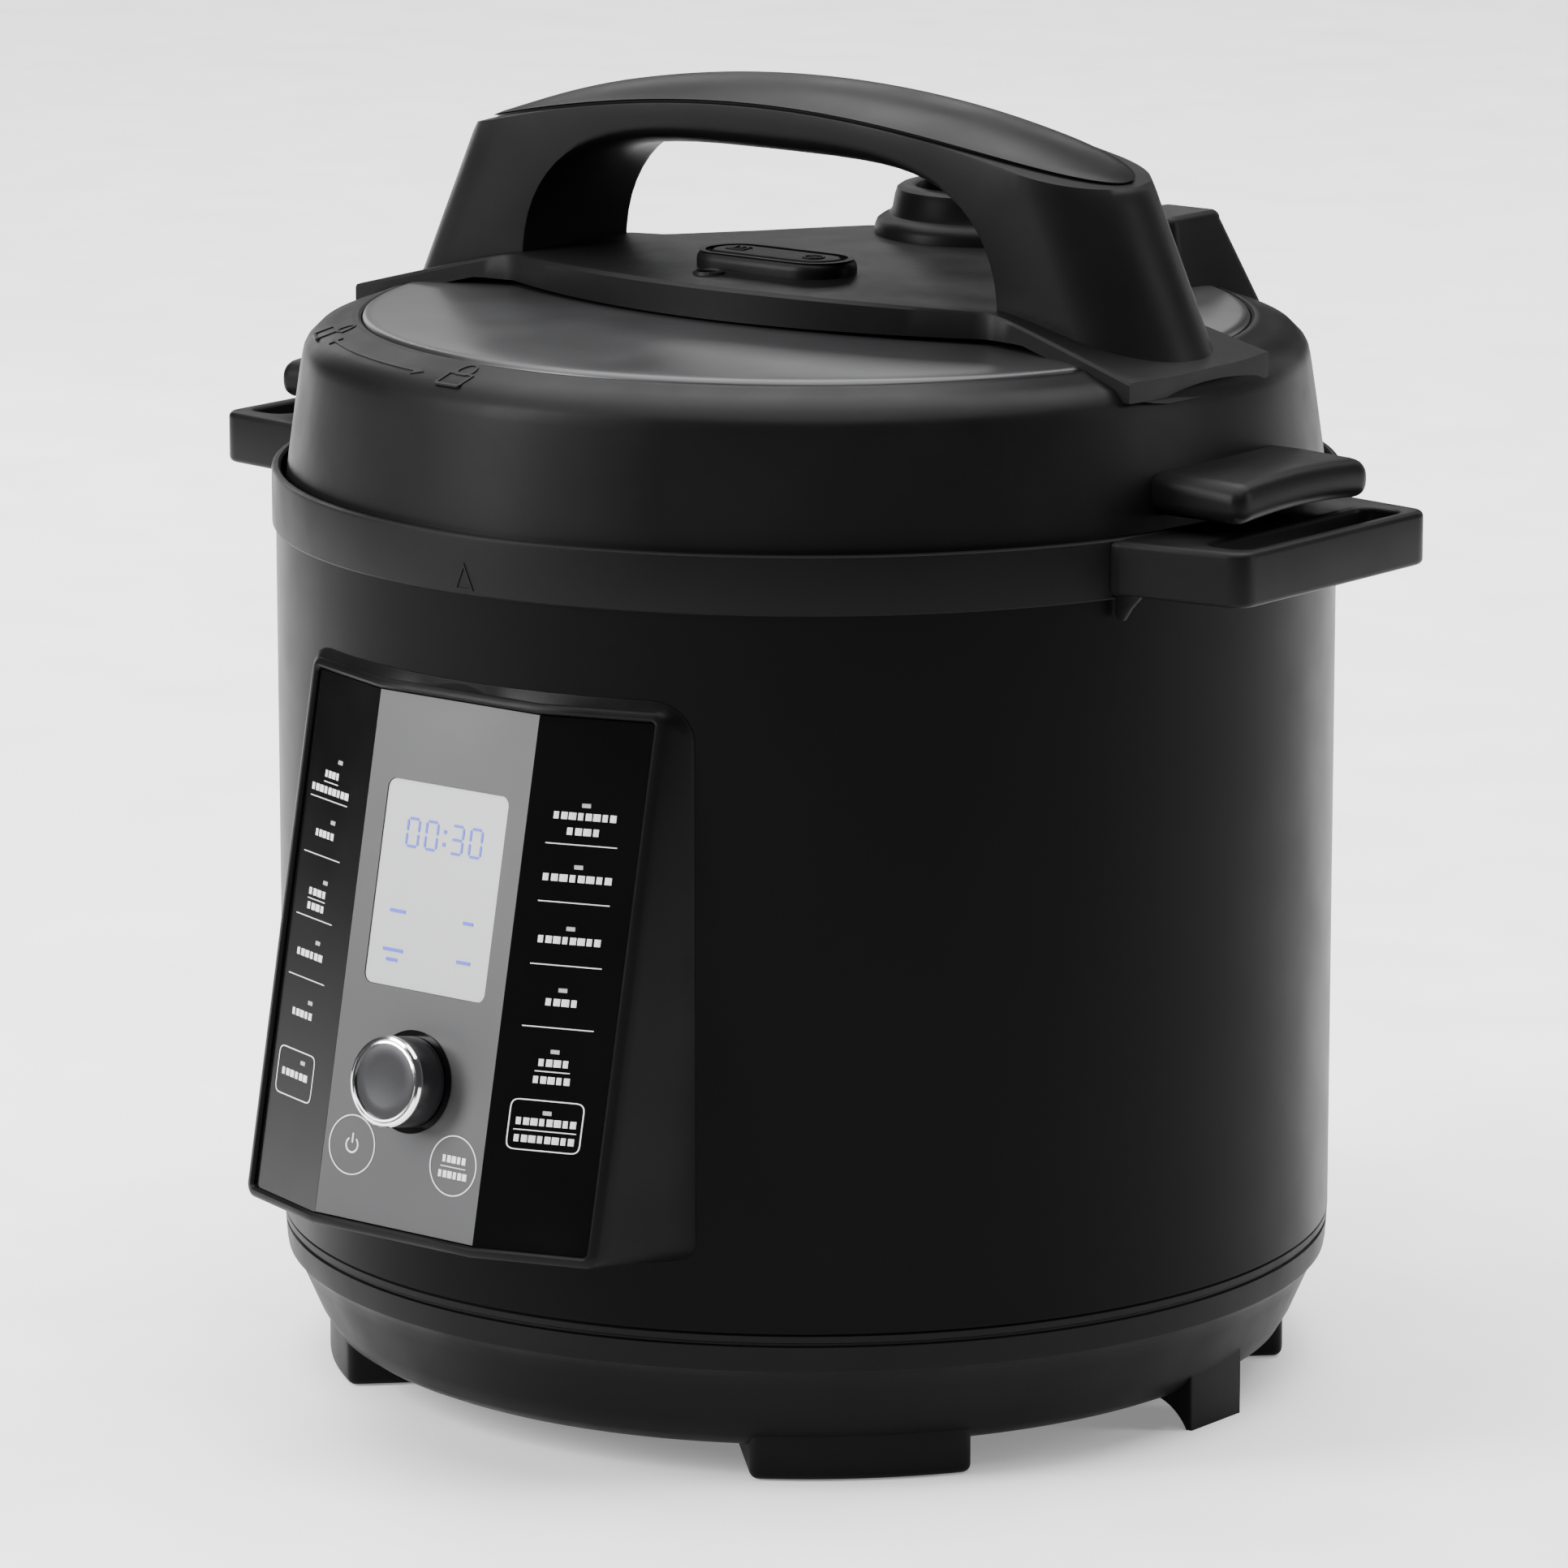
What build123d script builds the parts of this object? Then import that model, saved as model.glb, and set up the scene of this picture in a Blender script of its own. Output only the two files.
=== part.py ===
"""Electric pressure cooker: a floor-standing cooker with a twist-off lid.

Millimetres. Z = 0 is the surface the feet stand on and the Z axis is the axis of the pot.
The control panel faces -Y and the two carrying handles lie along X.
"""

import os
from math import atan2, cos, hypot, radians, sin

from build123d import *

os.makedirs("parts", exist_ok=True)

# ---- Driving dimensions -------------------------------------------------------------------
BODY_R = 135.0  # outside radius of the painted shell
SEAM_Z = 41.0  # joint between base and shell
SHELL_TOP_Z = 219.6  # joint between shell and collar
COLLAR_TOP_Z = 234.0
COLLAR_R = 136.0
HANDLE_REACH = 165.3  # X of the outer face of each carrying handle
SKIRT_R = 132.9  # lid skirt at its lower edge
SKIRT_Z = 226.0
SHOULDER_R = 127.5  # where the lid skirt turns into the ring top
SHOULDER_Z = 265.6
RING_IN_R = 112.8  # inner edge of the lid ring
RING_IN_Z = 271.6
DOME_TOP_Z = 276.0
DOME_SPHERE_R = 909.0
CROWN_TOP_Z = 275.0  # middle of the crown that thickens the dome
CROWN_R, CROWN_EDGE_Z = 108.0, 272.8  # where the crown rolls over into its rim
CROWN_RIM_R, CROWN_RIM_Z = 112.2, 269.6
BRIDGE_Z = 285.0  # crown of the bridge that carries the lid handle
POT_R = 111.0  # outside radius of the removable pot
POT_FLOOR_Z = 62.0
POT_RIM_Z = 232.5
LINER_R = 115.5
LINER_FLOOR_Z = 44.0
SHEET = 1.2  # pressed sheet metal
MOULDING = 2.6  # moulded plastic wall
GAP = 0.3  # working clearance between pieces that move apart
FIT = 0.05  # radial clearance of a running fit

# Lid handle
GRIP_HALF_W = 21.0
GRIP_END_X = 103.6  # end of the handle where body and grip meet
GRIP_SEAM_MID_Z = 327.3
GRIP_SEAM_END_Z = 312.5
GRIP_CROWN = 4.3
GRIP_TIP = 2.4  # height of the grip at its two ends
POST_LEAN = 0.467  # how far a post's end moves out for each millimetre down

# Control panel: three facets on a slope
PANEL_TOP = (-135.1, 192.3)  # Y, Z of the middle of the panel's top edge
PANEL_BOTTOM = (-161.7, 65.4)
FOLD_X = 25.5  # fold between the middle strip and a side strip
FACET_X = 53.8  # outer edge of a side strip
FACET_BACK = 9.5  # how far that outer edge lies behind the fold
FACET_T = 2.2
BEZEL_RISE = 1.4
HOUSING_X = 62.0
HOUSING_TOP_Z = 198.5  # where the housing meets the shell
HOUSING_BOTTOM_Z = 58.5
HOUSING_FRONT_Z = (61.8, 195.0)  # underside and top at the front rim
HOUSING_CORNER_Y = -118.5
DISPLAY_W, DISPLAY_H = 38.6, 50.5
DISPLAY_DOWN = 46.15  # from the panel's top edge, along the slope, to its middle
KNOB_DOWN = 93.5
KNOB_R = 11.25
KNOB_H = 10.6
SHAFT_R = 3.0
LIGHT_DOWNS = (21.0, 36.0, 51.0, 66.0, 81.0, 96.0)

# Steam valve, rocker and float pin on the lid
VALVE_Y = 75.0
ROCKER_Y = -12.0
ROCKER_AXIS_Z = 284.5
FLOAT_X, FLOAT_Y = -9.0, -28.0

# ---- Derived values -----------------------------------------------------------------------
PANEL_SLOPE = hypot(PANEL_BOTTOM[0] - PANEL_TOP[0], PANEL_BOTTOM[1] - PANEL_TOP[1])
LEAN = (PANEL_TOP[0] - PANEL_BOTTOM[0]) / (PANEL_TOP[1] - PANEL_BOTTOM[1])
PANEL_NORMAL = (0, -cos(atan2(LEAN, 1)), sin(atan2(LEAN, 1)))
PANEL = Plane(origin=(0, PANEL_TOP[0], PANEL_TOP[1]), x_dir=(1, 0, 0), z_dir=PANEL_NORMAL)


def panel_y(z):
    """Y of the middle strip's surface at height z."""
    return PANEL_TOP[0] - (PANEL_TOP[1] - z) * LEAN


def on_panel(down, height=0.0):
    """A plane on the panel's slope, `down` from its top edge and `height` above its surface."""
    origin = PANEL.from_local_coords((0, -down, height))
    return Plane(origin=origin, x_dir=(1, 0, 0), z_dir=PANEL_NORMAL)


def spin(points, mode=Mode.ADD):
    """Turn a closed outline of (radius, height) points about the Z axis."""
    with BuildSketch(Plane.XZ) as outline:
        with BuildLine():
            Polyline(*points, close=True)
        make_face()
    revolve(outline.sketch, axis=Axis.Z, mode=mode)


def block(x, y, z, mode=Mode.ADD):
    """A box given by its (low, high) span along each axis."""
    with BuildSketch(Plane.XY.offset(z[0])) as foot:
        with Locations(((x[0] + x[1]) / 2, (y[0] + y[1]) / 2)):
            Rectangle(x[1] - x[0], y[1] - y[0])
    extrude(foot.sketch, amount=z[1] - z[0], mode=mode)


def post(radius, z, places=((0, 0),), mode=Mode.ADD):
    """Upright round posts, or holes, of one radius over the span z."""
    with BuildSketch(Plane.XY.offset(z[0])) as foot:
        with Locations(*places):
            Circle(radius)
    extrude(foot.sketch, amount=z[1] - z[0], mode=mode)


def leaning_prism(section, z_low, z_high, mode=Mode.ADD):
    """Join the plan outlines section(z_low) and section(z_high) with flat faces."""
    outlines = []
    for z in (z_low, z_high):
        with BuildSketch(Plane.XY.offset(z)) as plan:
            with BuildLine():
                Polyline(*section(z), close=True)
            make_face()
        outlines.append(plan.sketch)
    loft(outlines, ruled=True, mode=mode)


def around(radius, count, start=0.0):
    """Evenly spaced points on a circle, as (x, y) pairs."""
    steps = [radians(start + 360 / count * i) for i in range(count)]
    return [(radius * cos(a), radius * sin(a)) for a in steps]


# ---- Base ---------------------------------------------------------------------------------
FOOT_R = 123.8
FOOT_IN_R = 86.0
FOOT_W = 55.0
PAD_T = 2.0
BASE_FLOOR_Z = 7.0
BOWL_FOOT_R = 117.0
SCREW_RING_R = 90.0
SCREW_R = 2.0
BOSS_TOP_Z = 36.0
BOARD_X, BOARD_Y = 44.0, (21.0, 69.0)
BOARD_Z = 16.0
INLET_FACE_Y = 135.0
INLET_Z = (10.4, 31.6)
INLET_HALF_W = 15.0
LEG_X = 125.5
LEG_IN_X = 110.0
LEG_TOP_Z = 26.0
ARCH_X, ARCH_Z, ARCH_R = 111.0, -7.0, 14.6
LEG_Y = (-2.4, 19.0)

screw_places = around(SCREW_RING_R, 4)
board_places = [(x, y) for x in (-BOARD_X, BOARD_X) for y in BOARD_Y]

BOWL_OUTSIDE = [
    (0, BASE_FLOOR_Z), (BOWL_FOOT_R, BASE_FLOOR_Z), (123.5, 11), (131.3, 28.5), (134.4, 30.5),
    (BODY_R, SEAM_Z - 0.4),
]
BOWL_INSIDE = [
    (BODY_R - MOULDING, SEAM_Z - 0.4), (131.4, 32.5), (128.6, 30), (121.2, 13),
    (116, BASE_FLOOR_Z + MOULDING), (0, BASE_FLOOR_Z + MOULDING),
]

with BuildPart() as base_housing:
    spin(BOWL_OUTSIDE + [(0, SEAM_Z - 0.4)])
    with BuildSketch(Plane.XY.offset(PAD_T)):
        Circle(FOOT_R)
        with BuildSketch(mode=Mode.INTERSECT):
            with PolarLocations((FOOT_R + FOOT_IN_R) / 2, 4, start_angle=45):
                RectangleRounded(FOOT_R - FOOT_IN_R + 8, FOOT_W, 7)
        Circle(FOOT_IN_R, mode=Mode.SUBTRACT)
    extrude(amount=BASE_FLOOR_Z + 4 - PAD_T)
    # side legs with a hollow arch below
    for side in (1, -1):
        with BuildSketch(Plane.XZ.offset(-LEG_Y[1])):
            with Locations((side * (LEG_IN_X + LEG_X) / 2, LEG_TOP_Z / 2)):
                Rectangle(LEG_X - LEG_IN_X, LEG_TOP_Z)
            with Locations((side * ARCH_X, ARCH_Z)):
                Circle(ARCH_R, mode=Mode.SUBTRACT)
        extrude(amount=LEG_Y[1] - LEG_Y[0])
    # power inlet surround at the back
    block((-19, 19), (112, INLET_FACE_Y), (BASE_FLOOR_Z, 36))
    spin(BOWL_INSIDE + [(0, SEAM_Z + 1), (BODY_R - MOULDING, SEAM_Z + 1)], mode=Mode.SUBTRACT)
    block((-INLET_HALF_W, INLET_HALF_W), (90, INLET_FACE_Y + 5), INLET_Z, mode=Mode.SUBTRACT)
    post(5, (BASE_FLOOR_Z, BOSS_TOP_Z), screw_places)
    post(3.2, (BASE_FLOOR_Z, BOARD_Z), board_places)
    post(4.2, (BASE_FLOOR_Z, BASE_FLOOR_Z + 4), screw_places, mode=Mode.SUBTRACT)
    post(SCREW_R, (BASE_FLOOR_Z, BOSS_TOP_Z), screw_places, mode=Mode.SUBTRACT)
    # cooling slots in the floor
    with BuildSketch(Plane.XY.offset(BASE_FLOOR_Z)):
        with GridLocations(9, 34, 9, 2):
            SlotOverall(26, 3.5, rotation=90)
    extrude(amount=MOULDING, mode=Mode.SUBTRACT)
base_housing.part.label = "base_housing"
export_step(base_housing.part, "parts/base_housing.step")

with BuildPart() as foot_pads:
    with BuildSketch():
        with PolarLocations((FOOT_R + FOOT_IN_R) / 2, 4, start_angle=45):
            RectangleRounded(26, 44, 5)
    extrude(amount=PAD_T)
foot_pads.part.label = "foot_pads"
export_step(foot_pads.part, "parts/foot_pads.step")

with BuildPart() as base_screws:
    post(3.8, (BASE_FLOOR_Z + 1.6, BASE_FLOOR_Z + 4), screw_places)
    post(SCREW_R, (BASE_FLOOR_Z + 4, LINER_FLOOR_Z), screw_places)
base_screws.part.label = "base_screws"
export_step(base_screws.part, "parts/base_screws.step")

with BuildPart() as liner_spacers:
    post(6, (BOSS_TOP_Z, LINER_FLOOR_Z), screw_places)
    post(SCREW_R, (BOSS_TOP_Z, LINER_FLOOR_Z), screw_places, mode=Mode.SUBTRACT)
liner_spacers.part.label = "liner_spacers"
export_step(liner_spacers.part, "parts/liner_spacers.step")

# ---- Power inlet --------------------------------------------------------------------------
SOCKET_Y = 113.0
SOCKET_Z = (12.4, 29.6)
SOCKET_HALF_W = 12.0
PIN_Z = 19.5

with BuildPart() as inlet_socket:
    block((-INLET_HALF_W, INLET_HALF_W), (108, INLET_FACE_Y), INLET_Z)
    with BuildSketch(Plane.XZ.offset(-INLET_FACE_Y)):
        with Locations((0, 21)):
            RectangleRounded(37, 26, 4)
    extrude(amount=-2)
    block((-SOCKET_HALF_W, SOCKET_HALF_W), (SOCKET_Y, 145), SOCKET_Z, mode=Mode.SUBTRACT)
    for x, z in ((-7, PIN_Z), (7, PIN_Z), (0, PIN_Z + 4)):
        block((x - 1, x + 1), (100, SOCKET_Y), (z - 2, z + 2), mode=Mode.SUBTRACT)
inlet_socket.part.label = "inlet_socket"
export_step(inlet_socket.part, "parts/inlet_socket.step")

with BuildPart() as inlet_pins:
    for x, z in ((-7, PIN_Z), (7, PIN_Z), (0, PIN_Z + 4)):
        block((x - 1, x + 1), (104, 131), (z - 2, z + 2))
inlet_pins.part.label = "inlet_pins"
export_step(inlet_pins.part, "parts/inlet_pins.step")

# ---- Painted shell ------------------------------------------------------------------------
OPENING_X = 55.5
OPENING_Z = (75.0, 193.6)

with BuildPart() as body_shell:
    spin([
        (BODY_R - 6, SEAM_Z), (BODY_R, SEAM_Z), (BODY_R, SHELL_TOP_Z - 0.3),
        (BODY_R - 1, SHELL_TOP_Z - 0.3), (BODY_R - 1, SEAM_Z + 1), (BODY_R - 6, SEAM_Z + 1),
    ])
    with BuildSketch(Plane.XZ):
        with Locations((0, sum(OPENING_Z) / 2)):
            Rectangle(2 * OPENING_X, OPENING_Z[1] - OPENING_Z[0])
    extrude(amount=150, mode=Mode.SUBTRACT)
body_shell.part.label = "body_shell"
export_step(body_shell.part, "parts/body_shell.step")

# ---- Collar with the carrying handles -----------------------------------------------------
CHANNEL_R = 133.6  # inner face of the collar's outer wall
CHANNEL_IN_R = 118.0
CHANNEL_Z = 223.0
GRIP_Z = (220.0, COLLAR_TOP_Z)
ROOT_X, ROOT_Y = 131.5, 47.3
TIP_Y = 38.5
SLOT_X = (149.0, 161.8)
SLOT_HALF_Y = 34.0



def is_handle_corner(corner):
    """True for the plan corners at the end of a carrying handle."""
    return abs(corner.X) > HANDLE_REACH - 1


def is_handle_rim(edge):
    """True for the upper edges at the end of a carrying handle."""
    middle = edge.center()
    return abs(middle.X) > HANDLE_REACH - 12 and middle.Z > COLLAR_TOP_Z - 0.1


with BuildPart() as collar:
    for side in (1, -1):
        with BuildSketch(Plane.XY.offset(GRIP_Z[0])) as handle_plan:
            with BuildLine():
                Polyline((side * 110, -ROOT_Y), (side * ROOT_X, -ROOT_Y),
                         (side * HANDLE_REACH, -TIP_Y), (side * HANDLE_REACH, TIP_Y),
                         (side * ROOT_X, ROOT_Y), (side * 110, ROOT_Y), close=True)
            make_face()
            fillet(handle_plan.vertices().filter_by(is_handle_corner), radius=9)
            with Locations((side * sum(SLOT_X) / 2, 0)):
                RectangleRounded(SLOT_X[1] - SLOT_X[0], 2 * SLOT_HALF_Y, 5, mode=Mode.SUBTRACT)
        extrude(amount=GRIP_Z[1] - GRIP_Z[0])
        # ribbed underside between slot and shell
        block(sorted((side * 137, side * 146)), (-37, 37), (GRIP_Z[0], COLLAR_TOP_Z - 3),
              mode=Mode.SUBTRACT)
        with BuildSketch(Plane.XY.offset(GRIP_Z[0])):
            with Locations(*[(side * 141.5, y) for y in (-24, -12, 0, 12, 24)]):
                Rectangle(10, 2.2)
        extrude(amount=GRIP_Z[1] - GRIP_Z[0] - 2)
        for y in (-ROOT_Y, ROOT_Y - 2.8):
            block(sorted((side * 129.8, side * 133.4)), (y, y + 2.8), (214, GRIP_Z[0]))
    fillet(collar.edges().filter_by(is_handle_rim), radius=1.2)
    post(CHANNEL_R, (GRIP_Z[0] - 1, COLLAR_TOP_Z + 1), mode=Mode.SUBTRACT)
    spin([
        (CHANNEL_IN_R, 219.8), (131, 219.8), (131, 209), (CHANNEL_R, 209), (CHANNEL_R, SHELL_TOP_Z),
        (COLLAR_R, SHELL_TOP_Z), (COLLAR_R, COLLAR_TOP_Z - 0.6), (COLLAR_R - 0.6, COLLAR_TOP_Z),
        (CHANNEL_R, COLLAR_TOP_Z), (CHANNEL_R, CHANNEL_Z), (CHANNEL_IN_R, CHANNEL_Z),
    ])
collar.part.label = "collar"
export_step(collar.part, "parts/collar.step")

# ---- Fixed outer pot and its locking rim --------------------------------------------------
RIM_Z = (229.0, 231.0)
RIM_R = 120.0
LUG_R = 124.0
LUG_COUNT = 8
SENSOR_HOLE_R = 16.0
TERMINAL_PLACES = [(70, 12), (70, -12)]

with BuildPart() as outer_pot:
    spin([
        (0, LINER_FLOOR_Z), (LINER_R, LINER_FLOOR_Z), (LINER_R, RIM_Z[0]), (RIM_R, RIM_Z[0]),
        (RIM_R, RIM_Z[1]), (LINER_R - 2, RIM_Z[1]), (LINER_R - 2, LINER_FLOOR_Z + 2),
        (0, LINER_FLOOR_Z + 2),
    ])
    with BuildSketch(Plane.XY.offset(RIM_Z[0])):
        Circle(LUG_R)
        with BuildSketch(mode=Mode.INTERSECT):
            with PolarLocations(LUG_R - 3, LUG_COUNT, start_angle=0):
                Rectangle(9, 38)
        Circle(RIM_R - 2, mode=Mode.SUBTRACT)
    extrude(amount=RIM_Z[1] - RIM_Z[0])
    post(SENSOR_HOLE_R, (LINER_FLOOR_Z, LINER_FLOOR_Z + 2), mode=Mode.SUBTRACT)
    post(4, (LINER_FLOOR_Z, LINER_FLOOR_Z + 2), TERMINAL_PLACES, mode=Mode.SUBTRACT)
outer_pot.part.label = "outer_pot"
export_step(outer_pot.part, "parts/outer_pot.step")

# ---- Heating plate and its element --------------------------------------------------------
PLATE_Z = (52.0, POT_FLOOR_Z - GAP)
PLATE_R = 95.0
ELEMENT_R = 70.0
ELEMENT_T = 2.9

with BuildPart() as heating_plate:
    spin([
        (13, PLATE_Z[0]), (PLATE_R - 3, PLATE_Z[0]), (PLATE_R, PLATE_Z[0] + 3),
        (PLATE_R, PLATE_Z[1] - 2), (PLATE_R - 2, PLATE_Z[1]), (13, PLATE_Z[1]),
    ])
heating_plate.part.label = "heating_plate"
export_step(heating_plate.part, "parts/heating_plate.step")

with BuildPart() as heater_element:
    with BuildSketch(Plane.XZ):
        with Locations((ELEMENT_R, PLATE_Z[0] - ELEMENT_T)):
            Circle(ELEMENT_T)
    revolve(axis=Axis.Z)
    post(2.5, (30, PLATE_Z[0] - ELEMENT_T), TERMINAL_PLACES)
heater_element.part.label = "heater_element"
export_step(heater_element.part, "parts/heater_element.step")

# ---- Temperature sensor under the pot -----------------------------------------------------
CAP_R = 11.0
CAP_Z = (55.0, POT_FLOOR_Z - 0.4)
STEM_R = 4.0
HOLDER_Z = (34.0, LINER_FLOOR_Z)

with BuildPart() as sensor_cap:
    post(CAP_R, CAP_Z)
    fillet(sensor_cap.edges().group_by(Axis.Z)[-1], radius=1.5)
    post(STEM_R, (HOLDER_Z[0] - 4, CAP_Z[0]))
sensor_cap.part.label = "sensor_cap"
export_step(sensor_cap.part, "parts/sensor_cap.step")

with BuildPart() as sensor_spring:
    with BuildLine():
        Helix(pitch=3.3, height=16.5, radius=6.3, center=(0, 0, HOLDER_Z[0] + 3))
    with BuildSketch(Plane(origin=(6.3, 0, HOLDER_Z[0] + 3), z_dir=(0, 1, 0.0834))):
        Circle(0.5)
    sweep()
sensor_spring.part.label = "sensor_spring"
export_step(sensor_spring.part, "parts/sensor_spring.step")

with BuildPart() as sensor_holder:
    spin([
        (STEM_R + FIT, HOLDER_Z[0]), (9.6, HOLDER_Z[0]), (9.6, HOLDER_Z[1] - 2), (24, HOLDER_Z[1] - 2),
        (24, HOLDER_Z[1]), (8.2, HOLDER_Z[1]), (8.2, HOLDER_Z[0] + 2), (STEM_R + FIT, HOLDER_Z[0] + 2),
    ])
sensor_holder.part.label = "sensor_holder"
export_step(sensor_holder.part, "parts/sensor_holder.step")

with BuildPart() as thermal_fuse:
    with BuildSketch(Plane.XZ.offset(10)):
        with Locations((42, LINER_FLOOR_Z - 3)):
            Circle(2.6)
    extrude(amount=18)
    with BuildSketch(Plane.XZ.offset(4)):
        with Locations((42, LINER_FLOOR_Z - 3)):
            Circle(0.6)
    extrude(amount=30)
thermal_fuse.part.label = "thermal_fuse"
export_step(thermal_fuse.part, "parts/thermal_fuse.step")

with BuildPart() as pressure_switch:
    block((-52, -32), (-20, -8), (30, LINER_FLOOR_Z - 2))
    fillet(pressure_switch.edges().filter_by(Axis.Z), radius=1.5)
    post(2, (LINER_FLOOR_Z - 2, LINER_FLOOR_Z), [(-42, -14)])
pressure_switch.part.label = "pressure_switch"
export_step(pressure_switch.part, "parts/pressure_switch.step")

# ---- Power board --------------------------------------------------------------------------
with BuildPart() as power_board:
    block((-50, 50), (15, 75), (BOARD_Z, BOARD_Z + 1.6))
    block((-30, -8), (46, 68), (BOARD_Z + 1.6, BOARD_Z + 20))
    block((6, 25), (40, 56), (BOARD_Z + 1.6, BOARD_Z + 17))
    block((30, 42), (28, 60), (BOARD_Z + 1.6, BOARD_Z + 12))
    post(5, (BOARD_Z + 1.6, BOARD_Z + 14), [(0, 66), (14, 67)])
    post(1.6, (BOARD_Z, BOARD_Z + 1.6), board_places, mode=Mode.SUBTRACT)
power_board.part.label = "power_board"
export_step(power_board.part, "parts/power_board.step")

# ---- Control panel ------------------------------------------------------------------------
def facets(z, proud, depth, half_w=FACET_X, fold_x=FOLD_X):
    """Plan outline that follows the three facets, from `proud` in front to `depth` behind."""
    y = panel_y(z)
    back = FACET_BACK * (half_w - fold_x) / (FACET_X - FOLD_X)
    front = [(-half_w, y + back - proud), (-fold_x, y - proud), (fold_x, y - proud),
             (half_w, y + back - proud)]
    return front + [(x, front_y + proud + depth) for x, front_y in reversed(front)]


def housing_plan(z):
    """Outer plan outline of the panel housing."""
    outline = facets(z, BEZEL_RISE, 0, half_w=FACET_X + 3.4)[:4]
    return [(-HOUSING_X, -100), (-HOUSING_X, HOUSING_CORNER_Y)] + outline + [
        (HOUSING_X, HOUSING_CORNER_Y), (HOUSING_X, -100)]


def housing_hollow(z):
    """Plan outline of the space inside the panel housing."""
    outline = facets(z, -FACET_T - 2.2, 0, half_w=FACET_X)[:4]
    return [(-HOUSING_X + 3, -100)] + outline + [(HOUSING_X - 3, -100)]


def facet_recess(z):
    """Plan outline of the recess that takes the three facets."""
    return facets(z, 6, FACET_T, half_w=FACET_X + 0.2)


def middle_facet(z):
    """Plan outline of the middle facet."""
    outline = facets(z, 0, FACET_T)
    return outline[1:3] + outline[5:7]


def left_facet(z):
    """Plan outline of the facet at -X, just clear of the middle one."""
    outline = facets(z, 0, FACET_T)
    near = [outline[1], outline[6]]
    return [outline[0], (near[0][0] - 0.1, near[0][1]), (near[1][0] - 0.1, near[1][1]), outline[7]]


def right_facet(z):
    """Plan outline of the facet at +X, the mirror image of the one at -X."""
    return [(-x, y) for x, y in reversed(left_facet(z))]


def is_housing_corner(edge):
    """True for the edges at the sides of the housing's front rim."""
    middle = edge.center()
    return middle.Y < HOUSING_CORNER_Y - 1 and abs(middle.X) > HOUSING_X - 8


KNOB = on_panel(KNOB_DOWN)
BOARD_DEPTH = 11.0

with BuildPart() as panel_housing:
    leaning_prism(housing_plan, HOUSING_BOTTOM_Z, HOUSING_TOP_Z)
    fillet(panel_housing.edges().filter_by(is_housing_corner), radius=2)
    # top and underside fall from the shell towards the front rim
    with BuildSketch(Plane.YZ) as slopes:
        with BuildLine():
            Polyline((-200, HOUSING_FRONT_Z[1]), (PANEL_TOP[0] - BEZEL_RISE, HOUSING_FRONT_Z[1]),
                     (HOUSING_CORNER_Y, HOUSING_TOP_Z), (HOUSING_CORNER_Y, 210), (-200, 210),
                     close=True)
        make_face()
        with BuildLine():
            Polyline((-200, HOUSING_FRONT_Z[0]), (PANEL_BOTTOM[0], HOUSING_FRONT_Z[0]),
                     (HOUSING_CORNER_Y, HOUSING_BOTTOM_Z), (HOUSING_CORNER_Y, 50), (-200, 50),
                     close=True)
        make_face()
    extrude(slopes.sketch, amount=HOUSING_X + 1, both=True, mode=Mode.SUBTRACT)
    leaning_prism(housing_hollow, HOUSING_BOTTOM_Z + 6, OPENING_Z[1], mode=Mode.SUBTRACT)
    # fit round the shell, and reach through the shell's window
    for z in ((0, OPENING_Z[0] + GAP), (OPENING_Z[1] - GAP, 250)):
        post(BODY_R, z, mode=Mode.SUBTRACT)
    with BuildSketch() as beside_window:
        Circle(BODY_R)
        Rectangle(2 * (OPENING_X - GAP), 2 * BODY_R, mode=Mode.SUBTRACT)
    extrude(beside_window.sketch, amount=250, mode=Mode.SUBTRACT)
    leaning_prism(facet_recess, PANEL_BOTTOM[1] - 2, PANEL_TOP[1] + 0.2, mode=Mode.SUBTRACT)
    with BuildSketch(on_panel(DISPLAY_DOWN, -8)):
        Rectangle(DISPLAY_W - 2, DISPLAY_H - 2)
    extrude(amount=10, mode=Mode.SUBTRACT)
    with BuildSketch(on_panel(KNOB_DOWN, -8)):
        Circle(6)
    extrude(amount=10, mode=Mode.SUBTRACT)
panel_housing.part.label = "panel_housing"
export_step(panel_housing.part, "parts/panel_housing.step")

with BuildPart() as panel_center:
    leaning_prism(middle_facet, PANEL_BOTTOM[1], PANEL_TOP[1])
    with BuildSketch(on_panel(DISPLAY_DOWN, -3)):
        RectangleRounded(DISPLAY_W + 0.2, DISPLAY_H + 0.2, 2.5)
    extrude(amount=5, mode=Mode.SUBTRACT)
    with BuildSketch(on_panel(KNOB_DOWN, -3)):
        Circle(6)
    extrude(amount=5, mode=Mode.SUBTRACT)
panel_center.part.label = "panel_center"
export_step(panel_center.part, "parts/panel_center.step")

LIGHT_W, LIGHT_H = 2.4, 1.1


def side_panel_plane(side, down):
    """Plane on a side strip, half way across it and `down` from the panel's top edge."""
    fold = on_panel(down).origin
    middle = Vector(side * (FOLD_X + FACET_X) / 2, fold.Y + FACET_BACK / 2, fold.Z)
    across = Vector(side * (FACET_X - FOLD_X), FACET_BACK, 0).normalized()
    up = Vector(0, LEAN, 1).normalized()
    outward = across.cross(up) * side
    return Plane(origin=middle, x_dir=across, z_dir=outward)


light_planes = [side_panel_plane(side, down) for side in (-1, 1) for down in LIGHT_DOWNS]

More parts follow.
